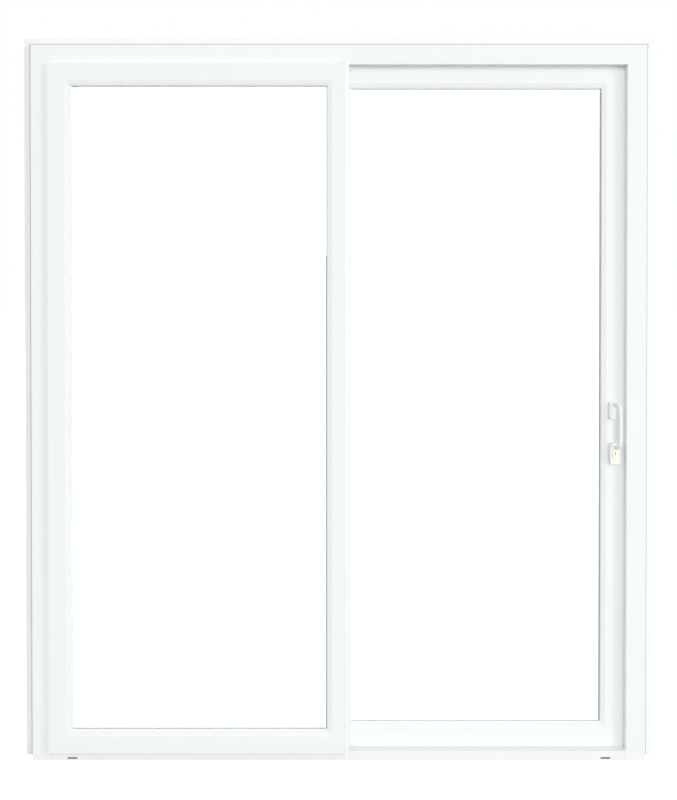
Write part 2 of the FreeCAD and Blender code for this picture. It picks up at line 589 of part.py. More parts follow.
fit_opening(fixed_interlock)
hook_out = "Places.fixed_back + Sizes.interlock_play"
foot_x = "(Places.fixed_right - Sizes.interlock_lip - 2 * Sizes.interlock_play - Sizes.interlock_foot / 2)"
extrude("slider_interlock", "XY_Plane", "Places.fixed_bottom + Sizes.interlock_end_room",
        "Places.open_top - Places.fixed_bottom - 2 * Sizes.interlock_end_room", [[
            (f"{foot_x} - Sizes.interlock_thick", "Places.slider_front"),
            (f"{foot_x} - Sizes.interlock_thick", hook_out),
            (f"{foot_x} + Sizes.interlock_foot", hook_out),
            (f"{foot_x} + Sizes.interlock_foot", f"{hook_out} + Sizes.interlock_thick"),
            (foot_x, f"{hook_out} + Sizes.interlock_thick"),
            (foot_x, "Places.slider_front"),
        ]])

# Rollers: two tandem carriers in the bottom rail, each with two axles and two grooved wheels
wheels = []
carriers = []
for count, carrier_x in enumerate(("Places.slider_left + Sizes.roller_inset",
                                   "Places.slider_right - Sizes.roller_inset")):
    carrier = start_body(f"carrier_{count}")
    half = "Sizes.roller_case_width / 2"
    inner_half = f"({half} - Sizes.roller_case_wall)"
    top_z = "Places.slot_top - Sizes.seat_gap"
    low_z = f"({top_z} - Sizes.roller_case_drop)"
    section = add_sketch(carrier, "profile", "YZ_Plane", f"{carrier_x} - Sizes.roller_case_length / 2")
    add_outline(section, [
        (f"Places.track_y - {half}", low_z), (f"Places.track_y - {half}", top_z),
        (f"Places.track_y + {half}", top_z), (f"Places.track_y + {half}", low_z),
        (f"Places.track_y + {inner_half}", low_z),
        (f"Places.track_y + {inner_half}", f"{top_z} - Sizes.roller_case_wall"),
        (f"Places.track_y - {inner_half}", f"{top_z} - Sizes.roller_case_wall"),
        (f"Places.track_y - {inner_half}", low_z),
    ])
    pad(carrier, section, "Sizes.roller_case_length")
    axle_end = f"(Places.track_y + {half} - Sizes.roller_case_wall / 2)"
    axles = add_sketch(carrier, "axles", "XZ_Plane", f"-{axle_end}")
    for side in ("-", "+"):
        wheel_x = f"{carrier_x} {side} Sizes.wheel_pitch / 2"
        add_circle(axles, wheel_x, "Places.wheel_z", "Sizes.axle_radius")
        wheel = start_body(f"wheel_{count}{len(wheels)}")
        rim = add_sketch(wheel, "rim", "YZ_Plane", wheel_x)
        wide = "Sizes.wheel_width / 2"
        groove = "(Sizes.rail_thick / 2 + Sizes.wheel_play)"
        rim.setExpression("AttachmentOffset.Base.y", "Places.wheel_z")
        add_outline(rim, [
            (f"Places.track_y - {wide}", "Sizes.axle_radius + Sizes.axle_play"),
            (f"Places.track_y + {wide}", "Sizes.axle_radius + Sizes.axle_play"),
            (f"Places.track_y + {wide}", "Sizes.wheel_flange_radius"),
            (f"Places.track_y + {groove}", "Sizes.wheel_tread_radius"),
            (f"Places.track_y - {groove}", "Sizes.wheel_tread_radius"),
            (f"Places.track_y - {wide}", "Sizes.wheel_flange_radius"),
        ])
        turned = wheel.newObject("PartDesign::Revolution", f"{wheel.Label}_turned")
        turned.Profile = rim
        turned.ReferenceAxis = (rim, ["H_Axis"])
        turned.Angle = 360
        wheels.append(wheel)
    pad(carrier, axles, "Sizes.roller_case_width - Sizes.roller_case_wall")
    carriers.append(carrier)
join("roller_carriers", carriers)
join("roller_wheels", wheels)

# Lock: a mortise in the stile's edge, the case with its face plate, the hook drawn back in it, and the keeper
lock_low = "Sizes.lock_centre_height - Sizes.mortise_height / 2"
mortise = add_sketch(lock_stile, "mortise", "YZ_Plane", "Places.slider_right")
add_outline(mortise, box("Places.track_y - Sizes.mortise_width / 2", lock_low,
                         "Places.track_y + Sizes.mortise_width / 2", f"{lock_low} + Sizes.mortise_height"))
pocket(lock_stile, mortise, "Sizes.case_depth + Sizes.faceplate_thick")

latch_case = start_body("latch_case")
plate = add_sketch(latch_case, "plate", "YZ_Plane", "Places.slider_right - Sizes.faceplate_thick")
edge_room = "Sizes.seat_gap"
add_outline(plate, box(f"Places.track_y - Sizes.mortise_width / 2 + {edge_room}", f"{lock_low} + {edge_room}",
                       f"Places.track_y + Sizes.mortise_width / 2 - {edge_room}",
                       f"{lock_low} + Sizes.mortise_height - {edge_room}"))
pad(latch_case, plate, "Sizes.faceplate_thick")
block = add_sketch(latch_case, "block", "YZ_Plane", "Places.slider_right - Sizes.faceplate_thick")
add_outline(block, box("Places.track_y - Sizes.case_width / 2",
                       "Sizes.lock_centre_height - Sizes.case_height / 2",
                       "Places.track_y + Sizes.case_width / 2",
                       "Sizes.lock_centre_height + Sizes.case_height / 2"))
pad(latch_case, block, "Sizes.case_depth - Sizes.seat_gap", backwards=True)
mouth = add_sketch(latch_case, "mouth", "YZ_Plane", "Places.slider_right")
add_outline(mouth, box("Places.track_y - Sizes.hook_thick / 2 - Sizes.seat_gap",
                       "Sizes.lock_centre_height - Sizes.hook_slot_height / 2",
                       "Places.track_y + Sizes.hook_thick / 2 + Sizes.seat_gap",
                       "Sizes.lock_centre_height + Sizes.hook_slot_height / 2"))
pocket(latch_case, mouth, "Sizes.case_depth")
nodes.append(latch_case)

hook = start_body("latch_hook")
blade = add_sketch(hook, "blade", "XZ_Plane", "-(Places.track_y + Sizes.hook_thick / 2)")
hook_right = "Places.slider_right - Sizes.hook_setback"
hook_back = "Places.slider_right - Sizes.case_depth + Sizes.seat_gap"
hook_low = "Sizes.lock_centre_height - Sizes.hook_slot_height / 2 + Sizes.seat_gap"
hook_neck = f"{hook_right} - 2 * Sizes.hook_nose_width"
add_outline(blade, [
    (hook_back, hook_low), (f"{hook_right} - Sizes.hook_ramp", hook_low),
    (hook_right, f"{hook_low} + Sizes.hook_ramp"), (hook_right, f"{hook_low} + Sizes.hook_nose"),
    (f"{hook_right} - Sizes.hook_nose_width", f"{hook_low} + Sizes.hook_nose"),
    (f"{hook_right} - Sizes.hook_nose_width", f"{hook_low} + Sizes.hook_throat"),
    (hook_neck, f"{hook_low} + Sizes.hook_throat"), (hook_neck, f"{hook_low} + Sizes.hook_height"),
    (hook_back, f"{hook_low} + Sizes.hook_height"),
])
pad(hook, blade, "Sizes.hook_thick")
nodes.append(hook)

keeper = start_body("lock_keeper")
strike = add_sketch(keeper, "strike", "YZ_Plane", "Places.floor_right - Sizes.keeper_thick")
add_round_box(strike, "Places.track_y - Sizes.keeper_width / 2",
              "Sizes.lock_centre_height - Sizes.keeper_height / 2",
              "Places.track_y + Sizes.keeper_width / 2",
              "Sizes.lock_centre_height + Sizes.keeper_height / 2", "Sizes.plate_corner")
add_outline(strike, box("Places.track_y - Sizes.keeper_slot_width / 2",
                        "Sizes.lock_centre_height - Sizes.keeper_slot_height / 2",
                        "Places.track_y + Sizes.keeper_slot_width / 2",
                        "Sizes.lock_centre_height + Sizes.keeper_slot_height / 2"))
pad(keeper, strike, "Sizes.keeper_thick")
nodes.append(keeper)

# Clips behind the fixed panel that hold it in the frame, three on the jamb side
CLIP_COUNT = 3
clips = []
for count in range(CLIP_COUNT):
    clip = start_body(f"clip_{count}")
    flat = add_sketch(clip, "flat", "XZ_Plane",
                      "-(Places.leg_y + Sizes.seat_gap + Sizes.clip_thick)")
    low = (f"Sizes.clip_first + {count} * (Sizes.frame_height - 2 * Sizes.clip_first) / {CLIP_COUNT - 1}"
           " - Sizes.clip_height / 2")
    add_outline(flat, box("Places.open_left - Sizes.clip_tuck", low,
                          "Places.open_left - Sizes.clip_tuck + Sizes.clip_width",
                          f"{low} + Sizes.clip_height"))
    pad(clip, flat, "Sizes.clip_thick")
    clips.append(clip)
join("fixed_panel_clips", clips)

# Handles: a bow is a rounded bar swept out of its foot, along the grip and back in again
def add_bow(body, turn, lean, foot_x, foot_y, top_z, low_z, reach, bend, radius):
    """Sweeps a bow; turn is - for a bow that stands out of the front and + for one on the room side."""
    path = add_sketch(body, "bow_path", "YZ_Plane", foot_x)
    path.AttachmentOffset = FreeCAD.Placement(path.AttachmentOffset.Base,
                                              FreeCAD.Rotation(FreeCAD.Vector(0, 1, 0), number(lean)))
    path.setExpression("AttachmentOffset.Rotation.Angle", lean)
    path.setExpression("AttachmentOffset.Base.x", foot_y)

    def out(distance):
        return f"{turn}({distance})"
    knee = f"{reach} - {bend}"
    spots = [
        (out("Sizes.bow_root"), top_z), (out(knee), top_z), (out(reach), f"{top_z} - {bend}"),
        (out(reach), f"{low_z} + {bend}"), (out(knee), low_z), (out("Sizes.bow_root"), low_z),
    ]
    vectors = [FreeCAD.Vector(number(across), number(up), 0) for across, up in spots]
    corners = {
        "-": ((90, 1, 2, f"{top_z} - {bend}"), (180, 3, 4, f"{low_z} + {bend}")),
        "+": ((0, 2, 1, f"{top_z} - {bend}"), (270, 4, 3, f"{low_z} + {bend}")),
    }[turn]
    for index in range(5):
        if index % 2 == 0:
            path.addGeometry(Part.LineSegment(vectors[index], vectors[index + 1]), False)
            continue
        angle, start, end, height = corners[index // 2]
        circle = Part.Circle(FreeCAD.Vector(number(out(knee)), number(height), 0), FreeCAD.Vector(0, 0, 1),
                             number(bend))
        path.addGeometry(Part.ArcOfCircle(circle, math.radians(angle), math.radians(angle + 90)), False)
    for spot, (across, up) in enumerate(spots):
        pin(path, 2 * (spot // 2), 1 + spot % 2, across, up)
    for arc, (angle, start, end, height) in zip((1, 3), corners):
        path.addConstraint(Sketcher.Constraint("Coincident", arc, 1, 2 * (start // 2), 1 + start % 2))
        path.addConstraint(Sketcher.Constraint("Coincident", arc, 2, 2 * (end // 2), 1 + end % 2))
        index = path.addConstraint(Sketcher.Constraint("DistanceY", arc, 3, number(height)))
        path.setExpression(f"Constraints[{index}]", height)

    ring = add_sketch(body, "bow_section", "XZ_Plane", f"-({foot_y} {turn} Sizes.bow_root * cos({lean}))")
    ring.AttachmentOffset = FreeCAD.Placement(ring.AttachmentOffset.Base,
                                              FreeCAD.Rotation(FreeCAD.Vector(0, 1, 0), number(lean)))
    ring.setExpression("AttachmentOffset.Rotation.Angle", lean)
    ring.setExpression("AttachmentOffset.Base.x", f"{foot_x} + Sizes.bow_root * sin({lean})")
    ring.setExpression("AttachmentOffset.Base.y", top_z)
    add_circle(ring, "0", "0", radius)
    doc.recompute()
    bow = body.newObject("PartDesign::AdditivePipe", f"{body.Label}_bow")
    bow.Profile = ring
    bow.Spine = (path, ["Edge1", "Edge2", "Edge3", "Edge4", "Edge5"])
    return bow


# Outside handle: the upper boss, the leaning bow and the lock housing are one casting
handle = start_body("outside_handle")
handle.AllowCompound = True
front_foot = "(Places.slider_front - Sizes.seat_gap)"


def handle_block(name, low, high, width, proud, rounding):
    """A round-cornered block on the stile's face, its front edge chamfered."""
    rim = f"({front_foot} - {proud} + Sizes.handle_chamfer)"
    for layer, start, length, taper in (("", front_foot, f"{proud} - Sizes.handle_chamfer", 0),
                                        ("_edge", rim, "Sizes.handle_chamfer", -CHAMFER_ANGLE)):
        sketch = add_sketch(handle, name + layer, "XZ_Plane", f"-{start}")
        add_round_box(sketch, "Places.housing_left", low, f"Places.housing_left + {width}", high, rounding)
        pad(handle, sketch, length).TaperAngle = taper


CHAMFER_ANGLE = 45
handle_block("housing", "Sizes.lock_housing_bottom", "Places.housing_top", "Sizes.lock_housing_width",
             "Sizes.lock_housing_proud", "Sizes.lock_housing_corner")
handle_block("boss", "Sizes.boss_top - Sizes.boss_height", "Sizes.boss_top", "Sizes.boss_width",
             "Sizes.boss_proud", "Sizes.boss_corner")
add_bow(handle, "-", "Sizes.bow_lean", "Places.handle_x", front_foot,
        "(Sizes.boss_top - Sizes.bow_top_inset)", "(Places.housing_top - Sizes.bow_foot_inset)",
        "Sizes.bow_reach", "Sizes.bow_bend", "Sizes.bow_radius")
doc.recompute()
cylinder_seat = add_sketch(handle, "cylinder_seat", "XZ_Plane", f"-({front_foot} - Sizes.lock_housing_proud)")
room = "Sizes.seat_gap"
add_round_box(cylinder_seat, f"Places.key_x - Sizes.cylinder_width / 2 - {room}",
              f"Places.key_z - Sizes.cylinder_height / 2 - {room}",
              f"Places.key_x + Sizes.cylinder_width / 2 + {room}",
              f"Places.key_z + Sizes.cylinder_height / 2 + {room}",
              f"(Sizes.cylinder_width + 2 * {room}) * {ROUND_END}")
pocket(handle, cylinder_seat, f"Sizes.cylinder_length - Sizes.cylinder_proud + {room}")
nodes.append(handle)

# Key cylinder: a brass barrel in the lock housing, with the plug that the key turns
cylinder = start_body("key_cylinder")
cylinder_face = f"({front_foot} - Sizes.lock_housing_proud - Sizes.cylinder_proud)"
barrel = add_sketch(cylinder, "barrel", "XZ_Plane", f"-({cylinder_face} + Sizes.cylinder_length)")
add_round_box(barrel, "Places.key_x - Sizes.cylinder_width / 2", "Places.key_z - Sizes.cylinder_height / 2",
              "Places.key_x + Sizes.cylinder_width / 2", "Places.key_z + Sizes.cylinder_height / 2",
              f"Sizes.cylinder_width * {ROUND_END}")
pad(cylinder, barrel, "Sizes.cylinder_length")
plug_bore = add_sketch(cylinder, "plug_bore", "XZ_Plane", f"-{cylinder_face}")
add_circle(plug_bore, "Places.key_x", "Places.key_z", "Sizes.plug_radius + Sizes.plug_play")
pocket(cylinder, plug_bore, "Sizes.cylinder_length - Sizes.plug_short + Sizes.seat_gap")
nodes.append(cylinder)

plug = start_body("key_plug")
plug_length = "(Sizes.cylinder_length - Sizes.plug_short)"
core = add_sketch(plug, "core", "XZ_Plane", f"-({cylinder_face} + {plug_length})")
add_circle(core, "Places.key_x", "Places.key_z", "Sizes.plug_radius")
pad(plug, core, f"{plug_length} + Sizes.plug_proud")
keyway = add_sketch(plug, "keyway", "XZ_Plane", f"-({cylinder_face} - Sizes.plug_proud)")
add_outline(keyway, box("Places.key_x - Sizes.keyway_width / 2", "Places.key_z - Sizes.keyway_height / 2",
                        "Places.key_x + Sizes.keyway_width / 2", "Places.key_z + Sizes.keyway_height / 2"))
pocket(plug, keyway, "Sizes.keyway_depth")
nodes.append(plug)

# Inside: a long plate on the stile, the pull on it and the thumb lever of the lock
inside_plate = start_body("inside_plate")
room_foot = "(Places.slider_back + Sizes.seat_gap)"
plate_low = "(Sizes.lock_housing_bottom - Sizes.escutcheon_corner)"
outline = add_sketch(inside_plate, "outline", "XZ_Plane", f"-({room_foot} + Sizes.escutcheon_thick)")
add_round_box(outline, "Places.housing_x - Sizes.escutcheon_width / 2", plate_low,
              "Places.housing_x + Sizes.escutcheon_width / 2", f"{plate_low} + Sizes.escutcheon_height",
              "Sizes.escutcheon_corner")
pad(inside_plate, outline, "Sizes.escutcheon_thick")
nodes.append(inside_plate)

inside_handle = start_body("inside_handle")
plate_face = f"({room_foot} + Sizes.escutcheon_thick)"
pull_top = f"({plate_low} + Sizes.escutcheon_height - 2 * Sizes.escutcheon_corner)"
add_bow(inside_handle, "+", "0", "Places.housing_x", f"({plate_face} - Sizes.bow_root)",
        pull_top, f"({pull_top} - Sizes.inside_bow_height)", "(Sizes.inside_bow_reach + Sizes.bow_root)",
        "Sizes.inside_bow_bend", "Sizes.inside_bow_radius")
nodes.append(inside_handle)

lever = start_body("thumb_lever")
hub = add_sketch(lever, "hub", "XZ_Plane", f"-({plate_face} + Sizes.lever_hub_length)")
add_circle(hub, "Places.housing_x", "Places.key_z", "Sizes.lever_hub_radius")
pad(lever, hub, "Sizes.lever_hub_length")
blade = add_sketch(lever, "blade", "XZ_Plane", f"-({plate_face} + Sizes.lever_hub_length)")
add_round_box(blade, "Places.housing_x - Sizes.lever_hub_radius / 2", "Places.key_z - Sizes.lever_thick / 2",
              "Places.housing_x + Sizes.lever_hub_radius / 2", "Places.key_z + Sizes.lever_length",
              f"Sizes.lever_hub_radius * {ROUND_END}")
pad(lever, blade, "Sizes.lever_thick")
nodes.append(lever)

# The whole model is worked out and tested before anything is written
doc.recompute()
for item in doc.Objects:
    if "Invalid" in item.State or "Error" in item.State:
        raise RuntimeError(f"{item.Label} failed: {item.State}")
for node in nodes:
    if node.Shape.isNull() or not node.Shape.isValid():
        raise RuntimeError(f"{node.Label} has no sound shape")
    node.Shape.exportStep(f"parts/{node.Label}.step")
print(len(nodes), "nodes written")
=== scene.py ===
import bmesh
import bpy
import math
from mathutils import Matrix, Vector


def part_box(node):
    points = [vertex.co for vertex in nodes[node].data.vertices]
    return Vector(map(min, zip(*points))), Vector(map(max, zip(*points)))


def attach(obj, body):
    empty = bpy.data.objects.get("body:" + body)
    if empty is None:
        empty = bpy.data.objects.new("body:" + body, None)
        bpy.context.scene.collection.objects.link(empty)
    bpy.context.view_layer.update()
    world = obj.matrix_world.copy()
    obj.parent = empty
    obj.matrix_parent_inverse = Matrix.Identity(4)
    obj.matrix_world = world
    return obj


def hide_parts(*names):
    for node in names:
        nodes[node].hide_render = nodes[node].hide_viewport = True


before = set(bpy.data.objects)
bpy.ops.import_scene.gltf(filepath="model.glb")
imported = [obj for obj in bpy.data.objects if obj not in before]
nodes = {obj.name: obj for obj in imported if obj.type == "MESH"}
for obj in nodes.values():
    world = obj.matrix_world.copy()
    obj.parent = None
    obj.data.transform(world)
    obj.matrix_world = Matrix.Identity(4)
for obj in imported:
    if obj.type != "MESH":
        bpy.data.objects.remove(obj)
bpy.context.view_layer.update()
bpy.ops.object.select_all(action="DESELECT")

# Sliding patio door seen from outside. X runs to the right, Y towards the room and Z up, all in metres. The
# frame and the left panel stand still, and the right panel rolls to the left behind the fixed one.

# Camera: almost square to the door, at eye height and tipped down by a hair, with the picture shifted down to
# take in the sill
PICTURE_WIDTH = 677
PICTURE_HEIGHT = 800
EYE_PIXEL = (340, 275.6)
FOCAL_PIXELS = 1012
EYE = (0.0034, -3.0434, 1.4697)
EYE_DOWN = math.radians(0.6)
SENSOR = 36.0

bpy.ops.object.camera_add(location=EYE, rotation=(math.pi / 2 - EYE_DOWN, 0, 0))
camera = bpy.context.object
camera.name = "door_camera"
camera.data.sensor_width = SENSOR
camera.data.lens = FOCAL_PIXELS / PICTURE_HEIGHT * SENSOR
camera.data.shift_x = (PICTURE_WIDTH / 2 - EYE_PIXEL[0]) / PICTURE_HEIGHT
camera.data.shift_y = (EYE_PIXEL[1] - PICTURE_HEIGHT / 2) / PICTURE_HEIGHT
camera.data.clip_end = 200
bpy.context.scene.camera = camera
bpy.context.scene.view_settings.view_transform = "Standard"

# Light: an even white studio all round, with broad fills from the front and the back that reach into the recesses,
# and one large soft lamp low on the right that gives the faint shadows beside the frame's edges
STUDIO_THROUGH_GLASS = 1.3
STUDIO_SEEN = 1.0
STUDIO_LIGHT = 0.58
FILL_FRONT = 1.06
FILL_BACK = 1.08
FILL_TURN = math.radians(74)
FILL_SPREAD = math.radians(31)
LAMP_DIRECTION = Vector((1.05, -1.0, 0.12)).normalized()
LAMP_AIM = Vector((0, 0, 1.0))
LAMP_DISTANCE = 12.0
LAMP_SIZE = 4.5
LAMP_POWER = 290

world = bpy.data.worlds.new("studio")
bpy.context.scene.world = world
world.use_nodes = True
world.node_tree.nodes.clear()
path = world.node_tree.nodes.new("ShaderNodeLightPath")
seen = world.node_tree.nodes.new("ShaderNodeMath")
seen.operation = "MAXIMUM"
level = world.node_tree.nodes.new("ShaderNodeMapRange")
level.inputs["To Min"].default_value = STUDIO_LIGHT
level.inputs["To Max"].default_value = STUDIO_SEEN
level_through = world.node_tree.nodes.new("ShaderNodeMapRange")
level_through.inputs["To Max"].default_value = STUDIO_THROUGH_GLASS
sky = world.node_tree.nodes.new("ShaderNodeBackground")
sky.inputs["Color"].default_value = (1, 1, 1, 1)
sky_out = world.node_tree.nodes.new("ShaderNodeOutputWorld")
world.node_tree.links.new(path.outputs["Is Camera Ray"], seen.inputs[0])
world.node_tree.links.new(path.outputs["Is Glossy Ray"], seen.inputs[1])
world.node_tree.links.new(seen.outputs[0], level.inputs["Value"])
world.node_tree.links.new(path.outputs["Is Transmission Ray"], level_through.inputs["Value"])
world.node_tree.links.new(level.outputs["Result"], level_through.inputs["To Min"])
world.node_tree.links.new(level_through.outputs["Result"], sky.inputs["Strength"])
world.node_tree.links.new(sky.outputs[0], sky_out.inputs["Surface"])

for name, strength, turn in (("front_fill", FILL_FRONT, 0.0), ("back_fill", FILL_BACK, math.pi)):
    bpy.ops.object.light_add(type="SUN", location=(0, 0, 3), rotation=(FILL_TURN, 0, turn))
    fill = bpy.context.object
    fill.name = name
    fill.data.angle = FILL_SPREAD
    fill.data.energy = strength
    fill.visible_glossy = False

bpy.ops.object.light_add(type="AREA", location=LAMP_AIM + LAMP_DIRECTION * LAMP_DISTANCE)
lamp = bpy.context.object
lamp.name = "soft_lamp"
lamp.rotation_euler = (-LAMP_DIRECTION).to_track_quat("-Z", "Y").to_euler()
lamp.data.shape = "DISK"
lamp.data.size = LAMP_SIZE
lamp.data.energy = LAMP_POWER

# Floor: a plain pale studio floor. Seen directly, through glass or in metal it is bright enough to run into the white
# behind the door, and for all other light it is only paper.
FLOOR_SIZE = 60
FLOOR_WHITE = (0.53, 0.53, 0.53, 1)

bpy.ops.mesh.primitive_plane_add(size=FLOOR_SIZE)
floor = bpy.context.object
floor.name = "studio_floor"
paper = bpy.data.materials.new("floor_paper")
paper.use_nodes = True
paper_shader = paper.node_tree.nodes["Principled BSDF"]
paper_shader.inputs["Base Color"].default_value = FLOOR_WHITE
paper_shader.inputs["Roughness"].default_value = 0.9
paper_shader.inputs["Specular IOR Level"].default_value = 0.1
paper_shader.inputs["Emission Color"].default_value = (1, 1, 1, 1)
paper_grain = paper.node_tree.nodes.new("ShaderNodeTexNoise")
paper_grain.inputs["Scale"].default_value = 120
paper_bump = paper.node_tree.nodes.new("ShaderNodeBump")
paper_bump.inputs["Strength"].default_value = 0.02
paper_path = paper.node_tree.nodes.new("ShaderNodeLightPath")
paper_seen = paper.node_tree.nodes.new("ShaderNodeMath")
paper_seen.operation = "MAXIMUM"
paper_shine = paper.node_tree.nodes.new("ShaderNodeMath")
paper_shine.operation = "MAXIMUM"
paper.node_tree.links.new(paper_grain.outputs["Fac"], paper_bump.inputs["Height"])
paper.node_tree.links.new(paper_bump.outputs["Normal"], paper_shader.inputs["Normal"])
paper.node_tree.links.new(paper_path.outputs["Is Camera Ray"], paper_seen.inputs[0])
paper.node_tree.links.new(paper_path.outputs["Is Transmission Ray"], paper_seen.inputs[1])
paper.node_tree.links.new(paper_seen.outputs[0], paper_shine.inputs[0])
paper.node_tree.links.new(paper_path.outputs["Is Glossy Ray"], paper_shine.inputs[1])
paper.node_tree.links.new(paper_shine.outputs[0], paper_shader.inputs["Emission Strength"])
floor.data.materials.append(paper)

# Outer frame: hollow white vinyl extrusions, two jambs and a head with mitred corners over a sill. Extruding
# leaves fine lines along each length, and the skin is satin with faint clouding.
VINYL_WHITE = (0.92, 0.955, 0.945, 1)
VINYL_CLOUD = (0.90, 0.935, 0.925, 1)
VINYL_ROUGHNESS = (0.32, 0.46)
VINYL_LINES = 240
VINYL_RELIEF = 0.08
LINE_STRETCH = 0.02
LINES_PER_CLOUD = 60
LINE_DEPTH = 0.0004
NOISE_LOW, NOISE_HIGH = 0.3, 0.7


def streaks_group():
    """Fine lines along one direction, as extruding and brushing leave, with broad clouding."""
    group = bpy.data.node_groups.new("fine_streaks", "ShaderNodeTree")
    face = group.interface
    face.new_socket("Vector", in_out="INPUT", socket_type="NodeSocketVector")
    for name, value in (("Line Scale", 1.0), ("Cloud Scale", 4.0)):
        socket = face.new_socket(name, in_out="INPUT", socket_type="NodeSocketFloat")
        socket.default_value = value
    face.new_socket("Lines", in_out="OUTPUT", socket_type="NodeSocketFloat")
    face.new_socket("Clouds", in_out="OUTPUT", socket_type="NodeSocketFloat")
    come = group.nodes.new("NodeGroupInput")
    go = group.nodes.new("NodeGroupOutput")
    lines = group.nodes.new("ShaderNodeTexNoise")
    lines.inputs["Detail"].default_value = 3
    lines.inputs["Roughness"].default_value = 0.6
    clouds = group.nodes.new("ShaderNodeTexNoise")
    clouds.inputs["Detail"].default_value = 4
    group.links.new(come.outputs["Vector"], lines.inputs["Vector"])
    group.links.new(come.outputs["Vector"], clouds.inputs["Vector"])
    group.links.new(come.outputs["Line Scale"], lines.inputs["Scale"])
    group.links.new(come.outputs["Cloud Scale"], clouds.inputs["Scale"])
    group.links.new(lines.outputs["Fac"], go.inputs["Lines"])
    group.links.new(clouds.outputs["Fac"], go.inputs["Clouds"])
    return group


streaks = streaks_group()


def streaked(name, along, near, far, rough, line_scale, bump, metallic=0.0):
    """A surface with fine lines along X, Y or Z over a cloudy colour; near and far are its two tones."""
    material = bpy.data.materials.new(name)
    material.use_nodes = True
    tree = material.node_tree
    shader = tree.nodes["Principled BSDF"]
    shader.inputs["Metallic"].default_value = metallic
    place = tree.nodes.new("ShaderNodeTexCoord")
    stretch = tree.nodes.new("ShaderNodeMapping")
    stretch.inputs["Scale"].default_value = [LINE_STRETCH if axis == along else 1.0 for axis in "XYZ"]
    effect = tree.nodes.new("ShaderNodeGroup")
    effect.node_tree = streaks
    effect.inputs["Line Scale"].default_value = line_scale
    effect.inputs["Cloud Scale"].default_value = line_scale / LINES_PER_CLOUD
    tone = tree.nodes.new("ShaderNodeMix")
    tone.data_type = "RGBA"
    tone.inputs["A"].default_value = near
    tone.inputs["B"].default_value = far
    gloss = tree.nodes.new("ShaderNodeMapRange")
    gloss.inputs["From Min"].default_value = NOISE_LOW
    gloss.inputs["From Max"].default_value = NOISE_HIGH
    gloss.inputs["To Min"].default_value = rough[0]
    gloss.inputs["To Max"].default_value = rough[1]
    relief = tree.nodes.new("ShaderNodeBump")
    relief.inputs["Strength"].default_value = bump
    relief.inputs["Distance"].default_value = LINE_DEPTH
    tree.links.new(place.outputs["Object"], stretch.inputs["Vector"])
    tree.links.new(stretch.outputs["Vector"], effect.inputs["Vector"])
    tree.links.new(effect.outputs["Clouds"], tone.inputs["Factor"])
    tree.links.new(tone.outputs["Result"], shader.inputs["Base Color"])
    tree.links.new(effect.outputs["Lines"], gloss.inputs["Value"])
    tree.links.new(gloss.outputs["Result"], shader.inputs["Roughness"])
    tree.links.new(effect.outputs["Lines"], relief.inputs["Height"])
    tree.links.new(relief.outputs["Normal"], shader.inputs["Normal"])
    return material


def dress(material, *names):
    """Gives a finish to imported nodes."""
    for name in names:
        nodes[name].data.materials.clear()
        nodes[name].data.materials.append(material)


vinyl_upright = streaked("vinyl_upright", "Z", VINYL_WHITE, VINYL_CLOUD, VINYL_ROUGHNESS, VINYL_LINES, VINYL_RELIEF)
vinyl_level = streaked("vinyl_level", "X", VINYL_WHITE, VINYL_CLOUD, VINYL_ROUGHNESS, VINYL_LINES, VINYL_RELIEF)
dress(vinyl_upright, "left_jamb", "right_jamb", "nail_fin_left", "nail_fin_right")
dress(vinyl_level, "head", "sill", "nail_fin_head")

# Sealing strips on the nailing fins: a flat grey foam tape pressed onto the front of each fin, close against the
# frame's side, which the house wrap later meets. Its grey also paints the shade that the frame's side casts on the
# fin, and the left strip is wider than the right because that painted shade is deeper on the left. Its outer edge is
# soft and slightly rounded.
FIN_TAPE_THICK = 0.0016
# the left strip is wider than the right to paint the deeper shade beside the frame on the left
FIN_TAPE_SHADED_LEFT = 0.0142
FIN_TAPE_RIGHT = 0.0134
FIN_TAPE_TOP = 0.0108
FIN_TAPE_FOOT = 0.002
FIN_TAPE_ROUND = 0.0006
TAPE_OFF_FRAME = 0.0002
TAPE_SUNK = 0.0001
STRIP_LENGTHS = 14
MERGE_DISTANCE = 0.00001
NEAR = 0.0001
# painted shade: the tape's grey tones also stand for the frame's shadow on the fin
TAPE_SHADE_GREY = (0.6, 0.61, 0.61, 1)
TAPE_SHADE_DARK = (0.52, 0.53, 0.53, 1)
TAPE_ROUGHNESS = (0.7, 0.85)
frame_low, frame_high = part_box("left_jamb")[0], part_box("right_jamb")[1]
fin_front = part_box("nail_fin_left")[0].y
head_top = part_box("head")[1].z


def block(name, low, high):
    """Starts a piece as a box between two corners and leaves it in edit mode with nothing selected."""
    bpy.ops.object.select_all(action="DESELECT")
    middle = [(a + b) / 2 for a, b in zip(low, high)]
    bpy.ops.mesh.primitive_cube_add(size=1, location=middle, scale=[b - a for a, b in zip(low, high)])
    piece = bpy.context.object
    piece.name = piece.data.name = name
    bpy.ops.object.transform_apply(location=True, rotation=True, scale=True)
    bpy.ops.object.mode_set(mode="EDIT")
    bpy.ops.mesh.select_all(action="DESELECT")
    return piece


def choose_edges(piece, test):
    """Selects the edges whose middle and direction pass the test, and nothing else."""
    bpy.ops.mesh.select_mode(type="EDGE")
    shape = bmesh.from_edit_mesh(piece.data)
    for edge in shape.edges:
        one, two = (vertex.co for vertex in edge.verts)
        edge.select_set(bool(test((one + two) / 2, (two - one).normalized())))
    shape.select_flush_mode()
    bmesh.update_edit_mesh(piece.data)


def choose_faces(piece, test):
    """Selects the faces whose middle and normal pass the test, and nothing else."""
    bpy.ops.mesh.select_mode(type="FACE")
    shape = bmesh.from_edit_mesh(piece.data)
    for face in shape.faces:
        face.select_set(bool(test(face.calc_center_median(), face.normal)))
    shape.select_flush_mode()
    bmesh.update_edit_mesh(piece.data)


